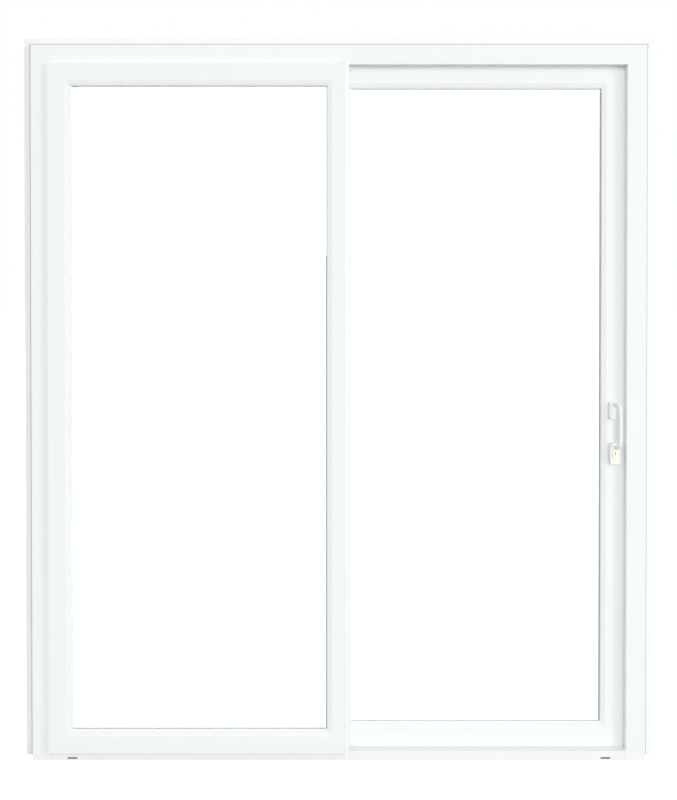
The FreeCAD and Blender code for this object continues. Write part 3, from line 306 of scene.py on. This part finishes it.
def close_piece(piece, material, body, angle=35):
    """Merges doubles, turns the faces outwards, smooths the rounds and hands the piece to its body and slot."""
    if bpy.context.object.mode == "EDIT":
        bpy.ops.mesh.select_all(action="SELECT")
        bpy.ops.mesh.remove_doubles(threshold=MERGE_DISTANCE)
        bpy.ops.mesh.normals_make_consistent(inside=False)
        bpy.ops.object.mode_set(mode="OBJECT")
    bpy.ops.object.select_all(action="DESELECT")
    piece.select_set(True)
    bpy.context.view_layer.objects.active = piece
    bpy.ops.object.shade_smooth_by_angle(angle=math.radians(angle))
    piece.select_set(False)
    piece.data.materials.clear()
    piece.data.materials.append(material)
    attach(piece, body)


def strip(name, low, high, round_off, material):
    """A soft strip on the frame, its long front edges rounded and its run cut into short lengths."""
    piece = block(name, low, high)
    sizes = [b - a for a, b in zip(low, high)]
    run = sizes.index(max(sizes))
    choose_edges(piece, lambda at, way: abs(way[run]) > 0.9 and at.y < (low[1] + high[1]) / 2)
    bpy.ops.mesh.bevel(offset=round_off, segments=4, affect="EDGES")
    for step in range(1, STRIP_LENGTHS):
        cut = [0.0, 0.0, 0.0]
        cut[run] = low[run] + (high[run] - low[run]) * step / STRIP_LENGTHS
        way = [0.0, 0.0, 0.0]
        way[run] = 1.0
        bpy.ops.mesh.select_all(action="SELECT")
        bpy.ops.mesh.bisect(plane_co=cut, plane_no=way)
    close_piece(piece, material, "frame")


shade_tape_upright = streaked("fin_tape_shade_upright", "Z", TAPE_SHADE_GREY, TAPE_SHADE_DARK, TAPE_ROUGHNESS, 420, 0.3)
shade_tape_level = streaked("fin_tape_shade_level", "X", TAPE_SHADE_GREY, TAPE_SHADE_DARK, TAPE_ROUGHNESS, 420, 0.3)
tape_low, tape_high = fin_front - FIN_TAPE_THICK, fin_front + TAPE_SUNK
strip("fin_tape_shade_left", (frame_low.x - FIN_TAPE_SHADED_LEFT, tape_low, FIN_TAPE_FOOT),
      (frame_low.x - TAPE_OFF_FRAME, tape_high, head_top), FIN_TAPE_ROUND, shade_tape_upright)
strip("fin_tape_shade_right", (frame_high.x + TAPE_OFF_FRAME, tape_low, FIN_TAPE_FOOT),
      (frame_high.x + FIN_TAPE_RIGHT, tape_high, head_top), FIN_TAPE_ROUND, shade_tape_upright)
strip("fin_tape_shade_top", (frame_low.x - FIN_TAPE_SHADED_LEFT, tape_low, head_top + TAPE_OFF_FRAME),
      (frame_high.x + FIN_TAPE_SHADED_LEFT, tape_high, head_top + FIN_TAPE_TOP), FIN_TAPE_ROUND, shade_tape_level)

# Weather seals and sealant of the opening: soft white bulbs pushed into the back of the frame's front leg, which the
# sliding panel closes against, a grey fillet of sealant under the fixed panel, and thin beads of it where the sill
# meets the two jambs. The fillet's grey also paints the contact shadow that the fixed panel casts on the sill's face.
OPEN_RIGHT = 0.851
MEETING_RIGHT = 0.0155
LEDGE_TOP, HEAD_UNDER = 0.030, 2.061
SEAL_WHITE = (0.9, 0.935, 0.925, 1)
SEAL_CLOUD = (0.87, 0.905, 0.895, 1)
SEAL_ROUGHNESS = (0.5, 0.62)
SEAL_CLEAR = 0.0003
SEAL_TALL = 0.0055
SEAL_ROUND = 0.002
SEAL_BEHIND = 0.0015
SEAL_END = 0.0005
SILL_SEAL_TALL = 0.006
FILLET_REACH, FILLET_TALL = 0.008, 0.0115
FILLET_RIGHT = 0.013
FILLET_CLEAR = 0.0001
FILLET_SHARE, FILLET_HOLLOW = 97, 0.42
# painted shade: the sealant's grey also stands for the fixed panel's contact shadow on the sill
JOINT_AND_SHADE_WHITE = (0.8, 0.83, 0.82, 1)
JOINT_AND_SHADE_CLOUD = (0.76, 0.79, 0.78, 1)
JOINT_WIDE = 0.0022
JOINT_PROUD = 0.0006
JOINT_ROUND = 0.0003
JOINT_END = 0.0005
leg_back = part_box("fixed_left_stile")[1].y
seal_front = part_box("lock_stile")[0].y - SEAL_CLEAR
seal_level = streaked("seal_level", "X", SEAL_WHITE, SEAL_CLOUD, SEAL_ROUGHNESS, 300, 0.15)
seal_upright = streaked("seal_upright", "Z", SEAL_WHITE, SEAL_CLOUD, SEAL_ROUGHNESS, 300, 0.15)
strip("sill_seal", (MEETING_RIGHT, leg_back, LEDGE_TOP - SEAL_END - SILL_SEAL_TALL),
      (OPEN_RIGHT - SEAL_END, seal_front, LEDGE_TOP - SEAL_END), SEAL_ROUND, seal_level)
strip("head_seal", (MEETING_RIGHT, leg_back, HEAD_UNDER + SEAL_BEHIND),
      (OPEN_RIGHT - SEAL_END, seal_front, HEAD_UNDER + SEAL_BEHIND + SEAL_TALL), SEAL_ROUND, seal_level)
sealant_and_shade = streaked("sealant_and_shade", "Z", JOINT_AND_SHADE_WHITE, JOINT_AND_SHADE_CLOUD, SEAL_ROUGHNESS, 300, 0.15)
fixed_left, fixed_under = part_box("fixed_left_stile")[0].x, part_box("fixed_left_stile")[0].z
frame_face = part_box("left_jamb")[0].y
fillet = block("panel_sealant_shade", (fixed_left, frame_face - FILLET_REACH, fixed_under - FILLET_TALL),
               (FILLET_RIGHT, frame_face, fixed_under - FILLET_CLEAR))
choose_edges(fillet, lambda at, way: abs(way.x) > 0.9 and at.y < frame_face - FILLET_REACH / 2
             and at.z < fixed_under - FILLET_TALL / 2)
bpy.ops.mesh.bevel(offset_type="PERCENT", offset_pct=FILLET_SHARE, segments=3, profile=FILLET_HOLLOW,
                   affect="EDGES")
close_piece(fillet, sealant_and_shade, "frame")
for side, joint in (("left", -OPEN_RIGHT), ("right", OPEN_RIGHT)):
    strip("sill_joint_" + side, (joint - JOINT_WIDE / 2, frame_face - JOINT_PROUD, JOINT_END),
          (joint + JOINT_WIDE / 2, frame_face, LEDGE_TOP - JOINT_END), JOINT_ROUND, sealant_and_shade)
strip("jamb_seal", (OPEN_RIGHT + SEAL_BEHIND, leg_back, LEDGE_TOP),
      (OPEN_RIGHT + SEAL_BEHIND + SEAL_TALL, seal_front, HEAD_UNDER), SEAL_ROUND, seal_upright)

# Panels: mitred and welded stiles and rails of hollow white vinyl, with beads snapped in behind the glass. The left
# panel is clipped to the frame, the right one stands on its rollers, and the interlocks hook the two together.
dress(vinyl_upright, "fixed_left_stile", "fixed_meeting_stile", "lock_stile", "slider_meeting_stile",
      "fixed_interlock", "slider_interlock",
      "fixed_bead_left", "fixed_bead_right", "slider_bead_left", "slider_bead_right")
dress(vinyl_level, "fixed_top_rail", "fixed_bottom_rail", "slider_top_rail", "slider_bottom_rail",
      "fixed_bead_top", "fixed_bead_bottom", "slider_bead_top", "slider_bead_bottom")

# Glass: two clear float panes in each panel, sealed round the edge on a spacer bar. The panes are very slightly
# wavy, and a faint haze lies on them.
GLASS_TINT = (0.965, 0.985, 0.978, 1)
PANES = ("fixed_glass_outer", "fixed_glass_inner", "slider_glass_outer", "slider_glass_inner")

glass = bpy.data.materials.new("float_glass")
glass.use_nodes = True
glass_tree = glass.node_tree
glass_shader = glass_tree.nodes["Principled BSDF"]
glass_shader.inputs["Base Color"].default_value = GLASS_TINT
glass_shader.inputs["Transmission Weight"].default_value = 1.0
glass_shader.inputs["IOR"].default_value = 1.45
glass_place = glass_tree.nodes.new("ShaderNodeTexCoord")
glass_wave = glass_tree.nodes.new("ShaderNodeTexNoise")
glass_wave.inputs["Scale"].default_value = 3.5
glass_wave.inputs["Detail"].default_value = 1
glass_bump = glass_tree.nodes.new("ShaderNodeBump")
glass_bump.inputs["Strength"].default_value = 0.03
glass_haze = glass_tree.nodes.new("ShaderNodeMapRange")
glass_haze.inputs["From Min"].default_value = 0.5
glass_haze.inputs["From Max"].default_value = 0.8
glass_haze.inputs["To Min"].default_value = 0.0
glass_haze.inputs["To Max"].default_value = 0.02
glass_tree.links.new(glass_place.outputs["Object"], glass_wave.inputs["Vector"])
glass_tree.links.new(glass_wave.outputs["Fac"], glass_bump.inputs["Height"])
glass_tree.links.new(glass_bump.outputs["Normal"], glass_shader.inputs["Normal"])
glass_tree.links.new(glass_wave.outputs["Fac"], glass_haze.inputs["Value"])
glass_tree.links.new(glass_haze.outputs["Result"], glass_shader.inputs["Roughness"])
dress(glass, *PANES)
for pane in PANES:
    nodes[pane].visible_shadow = False

# Spacer bars: a thin aluminium box section, painted white and glued to both panes, that runs round between them. It
# is seen only at a slant through the edge of the glass.
SPACER_WHITE = (0.86, 0.88, 0.87, 1)
SPACER_CLOUD = (0.8, 0.82, 0.81, 1)
spacer_paint = streaked("spacer_paint", "Z", SPACER_WHITE, SPACER_CLOUD, (0.4, 0.55), 700, 0.25)
dress(spacer_paint, "fixed_glass_spacer", "slider_glass_spacer")

# Glazing gaskets: a soft grey lip, moulded onto the inner edge of the sash, that presses on the outer pane all round.
# Only a thin line of it shows between the white lip and the glass. The ring is wide along the right and the top and
# sunk back at the left and below, so that its grey paints the shade that the lip casts on the right and top sides.
SIGHTS = {
    "fixed": (-0.7855, -0.0377, 0.0992, 1.992),
    "slider": (0.036, 0.779, 0.1002, 1.9918),
}
GASKET_SHADE_WIDTHS = {
    # painted shade: the right and high widths are larger where the lip's shade falls on the gasket
    "fixed": (0.0005, 0.0029, 0.0005, 0.0028),
    "slider": (0.0004, 0.0037, 0.0006, 0.0022),
}
LIP_ABOVE_GLASS = 0.0022
GASKET_PROUD = 0.0007
GASKET_OVER_GLASS = 0.0002
GASKET_OFF_GLASS = 0.0001
# the lit left and low sides are sunk back by this much, so little of the grey shows there
GASKET_SUNK_ON_LIT_SIDES = 0.0019
GASKET_CORNER = 0.004
OUTER_EDGE = 0.00008
# painted shade: the gasket's grey also stands for the lip's shadow along the right and top
GASKET_SHADE_GREY = (0.4, 0.41, 0.41, 1)
GASKET_SHADE_DARK = (0.33, 0.34, 0.34, 1)
gasket_rubber_and_shade = streaked("gasket_rubber_and_shade", "Z", GASKET_SHADE_GREY, GASKET_SHADE_DARK, (0.6, 0.75), 500, 0.2)


def gasket(name, sight, shade_widths, front, back, body):
    """A ring: a sheet with its middle taken out, its sides widened, made thick and pressed back left and below.

    The sight and the shade widths both give the left, the right, the low and the high side. The right and high widths
    are larger, so the grey there paints the lip's shade.
    """
    left, right, low, high = sight
    shade_wide_left, shade_wide_right, shade_wide_low, shade_wide_high = shade_widths
    bpy.ops.object.select_all(action="DESELECT")
    middle = Vector(((left + right) / 2, back, (low + high) / 2))
    bpy.ops.mesh.primitive_plane_add(size=1, location=middle, rotation=(math.pi / 2, 0, 0))
    piece = bpy.context.object
    piece.name = piece.data.name = name
    piece.scale = (right - left, high - low, 1)
    bpy.ops.object.transform_apply(location=True, rotation=True, scale=True)
    bpy.ops.object.mode_set(mode="EDIT")
    bpy.ops.mesh.select_all(action="SELECT")
    bpy.ops.mesh.inset(thickness=GASKET_OVER_GLASS, use_even_offset=True)
    choose_faces(piece, lambda at, run: (at - middle).length < 0.01)
    bpy.ops.mesh.delete(type="FACE")
    across, up = Vector((1, 0, 0)), Vector((0, 0, 1))
    for reach, shift, way in ((left, -shade_wide_left, across), (right, shade_wide_right, across),
                              (low, -shade_wide_low, up), (high, shade_wide_high, up)):
        choose_edges(piece, lambda at, run: abs(at.dot(way) - reach) < OUTER_EDGE and abs(run.dot(way)) < 0.1)
        bpy.ops.transform.translate(value=way * shift)
    for cut, way in ((left, across), (low, up)):
        bpy.ops.mesh.select_all(action="SELECT")
        bpy.ops.mesh.bisect(plane_co=way * (cut + GASKET_CORNER), plane_no=way)
    bpy.ops.mesh.select_all(action="SELECT")
    bpy.ops.mesh.extrude_region_move(TRANSFORM_OT_translate={"value": (0, front - back, 0)})
    edge_band = GASKET_CORNER / 4
    choose_edges(piece, lambda at, run: abs(at.y - front) < MERGE_DISTANCE
                 and (at.z < low + edge_band and abs(run.x) > 0.9 or at.x < left + edge_band and abs(run.z) > 0.9))
    bpy.ops.transform.translate(value=(0, GASKET_SUNK_ON_LIT_SIDES, 0))
    close_piece(piece, gasket_rubber_and_shade, body)


for panel, body in (("fixed", "frame"), ("slider", "sliding_panel")):
    pane_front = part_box(panel + "_glass_outer")[0].y
    gasket(panel + "_gasket_and_shade", SIGHTS[panel], GASKET_SHADE_WIDTHS[panel], pane_front - LIP_ABOVE_GLASS - GASKET_PROUD,
           pane_front - GASKET_OFF_GLASS, body)

# Rail and ironwork: a satin aluminium rail on the track floor, and zinc plated steel for the roller sets in the bottom
# rail, the lock's case, hook and keeper, and the clips screwed to the frame behind the fixed panel
RAIL_LIGHT, RAIL_DARK = (0.74, 0.75, 0.76, 1), (0.66, 0.67, 0.68, 1)
ZINC_LIGHT, ZINC_DARK = (0.66, 0.67, 0.68, 1), (0.52, 0.53, 0.54, 1)
rail_metal = streaked("rail_metal", "X", RAIL_LIGHT, RAIL_DARK, (0.25, 0.4), 600, 0.15, 1.0)
dress(rail_metal, "sill_rail")
zinc_steel = streaked("zinc_steel", "X", ZINC_LIGHT, ZINC_DARK, (0.3, 0.5), 200, 0.1, 1.0)
dress(zinc_steel, "roller_carriers", "roller_wheels", "latch_case", "latch_hook", "lock_keeper",
      "fixed_panel_clips")

# Outside handle: one casting, coated white, of a lock housing below, a boss above and a leaning bow that runs from
# one to the other. It is screwed through the stile from inside, and its edges are rounded as cast.
HANDLE_LEFT = 0.804
HOUSING_WIDE, HOUSING_PROUD, HOUSING_CORNER, HOUSING_TALL = 0.031, 0.020, 0.008, 0.064
BOSS_WIDE, BOSS_PROUD, BOSS_CORNER, BOSS_TALL = 0.020, 0.014, 0.006, 0.052
FRONT_ROUND = 0.0025
BOW_REACH, BOW_BEND, BOW_RADIUS, BOW_ROOT = 0.044, 0.015, 0.0055, 0.005
BOW_LEAN = math.radians(20)
BOW_TOP_INSET, BOW_FOOT_INSET = 0.007, 0.011
BOW_STEPS = 12
SEAT_ROOM, SEAT_OPEN, SEAT_CORNER, SEAT_ROUND = 0.0004, 0.004, 0.0086, 0.0001
COAT_WHITE = (0.925, 0.95, 0.945, 1)
COAT_CLOUD = (0.9, 0.925, 0.92, 1)
coat_white = streaked("coat_white", "Z", COAT_WHITE, COAT_CLOUD, (0.28, 0.36), 700, 0.12)
housing_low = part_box("outside_handle")[0].z
boss_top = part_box("outside_handle")[1].z
handle_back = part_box("outside_handle")[1].y
housing_top = housing_low + HOUSING_TALL


def cast_block(name, low, high, corner, front_round, front_y=None):
    """A block with rounded corners, its front edge rounded over; the front is the low Y side if not given."""
    front_y = low[1] if front_y is None else front_y
    piece = block(name, low, high)
    choose_edges(piece, lambda at, way: abs(way.y) > 0.9)
    bpy.ops.mesh.bevel(offset=corner, segments=6, affect="EDGES")
    choose_edges(piece, lambda at, way: abs(at.y - front_y) < MERGE_DISTANCE and abs(way.y) < 0.1)
    bpy.ops.mesh.bevel(offset=front_round, segments=4, affect="EDGES")
    bpy.ops.mesh.select_all(action="SELECT")
    bpy.ops.mesh.normals_make_consistent(inside=False)
    bpy.ops.object.mode_set(mode="OBJECT")
    return piece


housing = cast_block("outside_handle_cast", (HANDLE_LEFT, handle_back - HOUSING_PROUD, housing_low),
                     (HANDLE_LEFT + HOUSING_WIDE, handle_back, housing_top), HOUSING_CORNER, FRONT_ROUND)
boss = cast_block("handle_boss", (HANDLE_LEFT, handle_back - BOSS_PROUD, boss_top - BOSS_TALL),
                  (HANDLE_LEFT + BOSS_WIDE, handle_back, boss_top), BOSS_CORNER, FRONT_ROUND)
down_way = Vector((0, 0, -1))


def cast_bow(name, root, out_way, straight, bend, drop, radius):
    """A round bar drawn out of its foot, spun down, drawn along the grip and spun back in to the lower foot."""
    turn_axis = -out_way.cross(down_way)
    lean = math.atan2(out_way.x, -out_way.y)
    bpy.ops.object.select_all(action="DESELECT")
    bpy.ops.mesh.primitive_circle_add(vertices=32, radius=radius, fill_type="NGON", location=root,
                                      rotation=(math.pi / 2, 0, lean))
    piece = bpy.context.object
    piece.name = piece.data.name = name
    bpy.ops.object.transform_apply(location=True, rotation=True, scale=True)
    bpy.ops.object.mode_set(mode="EDIT")
    bpy.ops.mesh.select_all(action="SELECT")
    knee = root + out_way * straight
    bpy.ops.mesh.extrude_region_move(TRANSFORM_OT_translate={"value": out_way * straight})
    bpy.ops.mesh.spin(steps=BOW_STEPS, angle=math.pi / 2, center=knee + down_way * bend, axis=turn_axis)
    bpy.ops.mesh.extrude_region_move(TRANSFORM_OT_translate={"value": down_way * (drop - 2 * bend)})
    bpy.ops.mesh.spin(steps=BOW_STEPS, angle=math.pi / 2, center=knee + down_way * (drop - bend), axis=turn_axis)
    bpy.ops.mesh.extrude_region_move(TRANSFORM_OT_translate={"value": -out_way * straight})
    bpy.ops.mesh.select_all(action="SELECT")
    bpy.ops.mesh.remove_doubles(threshold=MERGE_DISTANCE)
    bpy.ops.mesh.normals_make_consistent(inside=False)
    bpy.ops.object.mode_set(mode="OBJECT")
    return piece


def cast_together(whole, *parts, grain=0.0008):
    """Joins blocks and bars into one casting with the small fillets that a mould leaves."""
    bpy.ops.object.select_all(action="DESELECT")
    for part in (whole, *parts):
        part.select_set(True)
    bpy.context.view_layer.objects.active = whole
    if parts:
        bpy.ops.object.join()
    weld = whole.modifiers.new("cast", "REMESH")
    weld.mode = "VOXEL"
    weld.voxel_size = grain
    bpy.ops.object.modifier_apply(modifier="cast")
    soften = whole.modifiers.new("soften", "SMOOTH")
    soften.factor = 0.5
    soften.iterations = 8
    bpy.ops.object.modifier_apply(modifier="soften")
    return whole


out_way = Vector((math.sin(BOW_LEAN), -math.cos(BOW_LEAN), 0))
bow_top = boss_top - BOW_TOP_INSET
bow_root = Vector((HANDLE_LEFT + BOSS_WIDE / 2, handle_back, bow_top)) + out_way * BOW_ROOT
bow = cast_bow("handle_bow", bow_root, out_way, BOW_REACH - BOW_BEND - BOW_ROOT, BOW_BEND,
               bow_top - (housing_top - BOW_FOOT_INSET), BOW_RADIUS)
handle = cast_together(housing, boss, bow)
seat_low, seat_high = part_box("key_cylinder")
cutter = cast_block("cylinder_seat", (seat_low.x - SEAT_ROOM, seat_low.y - SEAT_OPEN, seat_low.z - SEAT_ROOM),
                    (seat_high.x + SEAT_ROOM, seat_high.y + SEAT_ROOM, seat_high.z + SEAT_ROOM),
                    SEAT_CORNER, SEAT_ROUND)
sink = handle.modifiers.new("seat", "BOOLEAN")
sink.operation = "DIFFERENCE"
sink.object = cutter
bpy.ops.object.select_all(action="DESELECT")
handle.select_set(True)
bpy.context.view_layer.objects.active = handle
bpy.ops.object.modifier_apply(modifier="seat")
bpy.data.objects.remove(cutter)
close_piece(handle, coat_white, "sliding_panel", 40)
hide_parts("outside_handle")

# Key cylinder: a satin brass barrel, set into the round seat of the housing before the handle is screwed on, with the
# plug in its middle that the key turns
BRASS = (0.93, 0.9, 0.74, 1)
BRASS_DARK = (0.84, 0.8, 0.63, 1)
brass = streaked("satin_brass", "Z", BRASS, BRASS_DARK, (0.25, 0.4), 500, 0.1, 0.4)
dress(brass, "key_cylinder", "key_plug")

# Inside handle: a coated plate on the stile with its edges rounded, the pull that stands on it on two round feet,
# and the thumb lever that throws the hook. The plate is held by two screws.
PLATE_CORNER, PLATE_ROUND, PLATE_GRAIN = 0.010, 0.0025, 0.0011
PULL_RADIUS, PULL_BEND, PULL_REACH, PULL_TALL, PULL_INSET = 0.006, 0.020, 0.0395, 0.140, 0.020
FOOT_RADIUS, FOOT_THICK, FOOT_ROUND = 0.0095, 0.003, 0.0012
LEVER_HUB, LEVER_LONG, LEVER_THICK, LEVER_CORNER, LEVER_ROUND = 0.009, 0.034, 0.005, 0.0042, 0.0015
LEVER_GRAIN = 0.0007
OFF_PLATE = 0.0002
plate_low, plate_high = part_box("inside_plate")
plate_face = plate_high.y
plate_x = (plate_low.x + plate_high.x) / 2
foot_face = plate_face + OFF_PLATE
plate = cast_block("inside_plate_cast", plate_low, plate_high, PLATE_CORNER, PLATE_ROUND, plate_face)
close_piece(cast_together(plate, grain=PLATE_GRAIN), coat_white, "sliding_panel", 40)
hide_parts("inside_plate")
in_way = Vector((0, 1, 0))
pull_top = plate_high.z - PULL_INSET
pull = cast_bow("inside_pull_cast", Vector((plate_x, foot_face, pull_top)), in_way,
                PULL_REACH - PULL_BEND, PULL_BEND, PULL_TALL, PULL_RADIUS)
feet = []
for foot_z in (pull_top, pull_top - PULL_TALL):
    bpy.ops.object.select_all(action="DESELECT")
    bpy.ops.mesh.primitive_cylinder_add(vertices=32, radius=FOOT_RADIUS, depth=FOOT_THICK,
                                        location=(plate_x, foot_face + FOOT_THICK / 2, foot_z),
                                        rotation=(math.pi / 2, 0, 0))
    foot = bpy.context.object
    bpy.ops.object.transform_apply(location=True, rotation=True, scale=True)
    bpy.ops.object.mode_set(mode="EDIT")
    choose_edges(foot, lambda at, way: at.y > plate_face + FOOT_THICK and abs(way.y) < 0.1)
    bpy.ops.mesh.bevel(offset=FOOT_ROUND, segments=3, affect="EDGES")
    bpy.ops.object.mode_set(mode="OBJECT")
    feet.append(foot)
close_piece(cast_together(pull, *feet), coat_white, "sliding_panel", 40)
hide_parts("inside_handle")
lever_low, lever_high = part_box("thumb_lever")
hub_z = lever_low.z + LEVER_HUB
blade = cast_block("thumb_lever_cast",
                   (plate_x - LEVER_HUB / 2, lever_high.y - LEVER_THICK, hub_z - LEVER_THICK / 2),
                   (plate_x + LEVER_HUB / 2, lever_high.y, hub_z + LEVER_LONG),
                   LEVER_CORNER, LEVER_ROUND, lever_high.y)
bpy.ops.object.select_all(action="DESELECT")
bpy.ops.mesh.primitive_cylinder_add(vertices=32, radius=LEVER_HUB, depth=lever_high.y - foot_face,
                                    location=(plate_x, (lever_high.y + foot_face) / 2, hub_z),
                                    rotation=(math.pi / 2, 0, 0))
hub = bpy.context.object
bpy.ops.object.transform_apply(location=True, rotation=True, scale=True)
bpy.ops.object.mode_set(mode="EDIT")
choose_edges(hub, lambda at, way: at.y > lever_high.y - NEAR and abs(way.y) < 0.1)
bpy.ops.mesh.bevel(offset=LEVER_ROUND, segments=3, affect="EDGES")
bpy.ops.object.mode_set(mode="OBJECT")
close_piece(cast_together(blade, hub, grain=LEVER_GRAIN), coat_white, "sliding_panel", 40)
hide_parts("thumb_lever")

# Screws: zinc plated pan heads with a socket, turned and stamped, in the inside plate, the lock keeper and the clips
# that hold the fixed panel. They are driven through the sheet into the vinyl behind.
SCREW_RADIUS, SCREW_TALL, SCREW_ROUND = 0.0036, 0.0018, 0.0009
SOCKET_RADIUS, SOCKET_DEEP = 0.0016, 0.0012
PLATE_SCREWS_Z = (0.881, 1.078)
KEEPER_SCREWS_Y, KEEPER_SCREWS_Z = -0.007, (0.912, 1.008)
CLIP_SCREWS_IN, CLIP_SCREWS_Z = (0.008, 0.030), (0.3, 1.059, 1.818)
bpy.ops.object.select_all(action="DESELECT")
bpy.ops.mesh.primitive_cylinder_add(vertices=24, radius=SCREW_RADIUS, depth=SCREW_TALL,
                                    location=(0, 0, SCREW_TALL / 2))
screw_master = bpy.context.object
bpy.ops.object.transform_apply(location=True, rotation=True, scale=True)
bpy.ops.object.mode_set(mode="EDIT")
choose_edges(screw_master, lambda at, way: at.z > SCREW_TALL - NEAR and abs(way.z) < 0.1)
bpy.ops.mesh.bevel(offset=SCREW_ROUND, segments=3, affect="EDGES")
choose_faces(screw_master, lambda at, way: way.z > 0.99)
bpy.ops.mesh.inset(thickness=SCREW_RADIUS - SCREW_ROUND - SOCKET_RADIUS)
bpy.ops.mesh.extrude_region_move(TRANSFORM_OT_translate={"value": (0, 0, -SOCKET_DEEP)})
bpy.ops.object.mode_set(mode="OBJECT")
keeper_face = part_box("lock_keeper")[0].x
clip_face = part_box("fixed_panel_clips")[1].y
clip_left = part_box("fixed_panel_clips")[0].x
turn_in = (-math.pi / 2, 0, 0)
turn_left = (0, -math.pi / 2, 0)
screw_places = [("plate_screw", (plate_x, plate_face, z), turn_in, "sliding_panel") for z in PLATE_SCREWS_Z]
screw_places += [("keeper_screw", (keeper_face, KEEPER_SCREWS_Y, z), turn_left, "frame")
                 for z in KEEPER_SCREWS_Z]
screw_places += [("clip_screw", (clip_left + inward, clip_face, z), turn_in, "frame")
                 for z in CLIP_SCREWS_Z for inward in CLIP_SCREWS_IN]
for count, (name, place, turn, body) in enumerate(screw_places):
    screw = bpy.data.objects.new(f"{name}_{count}", screw_master.data.copy())
    bpy.context.scene.collection.objects.link(screw)
    screw.location, screw.rotation_euler = place, turn
    bpy.ops.object.select_all(action="DESELECT")
    screw.select_set(True)
    bpy.context.view_layer.objects.active = screw
    bpy.ops.object.transform_apply(location=True, rotation=True, scale=True)
    close_piece(screw, zinc_steel, body, 30)
bpy.data.objects.remove(screw_master)
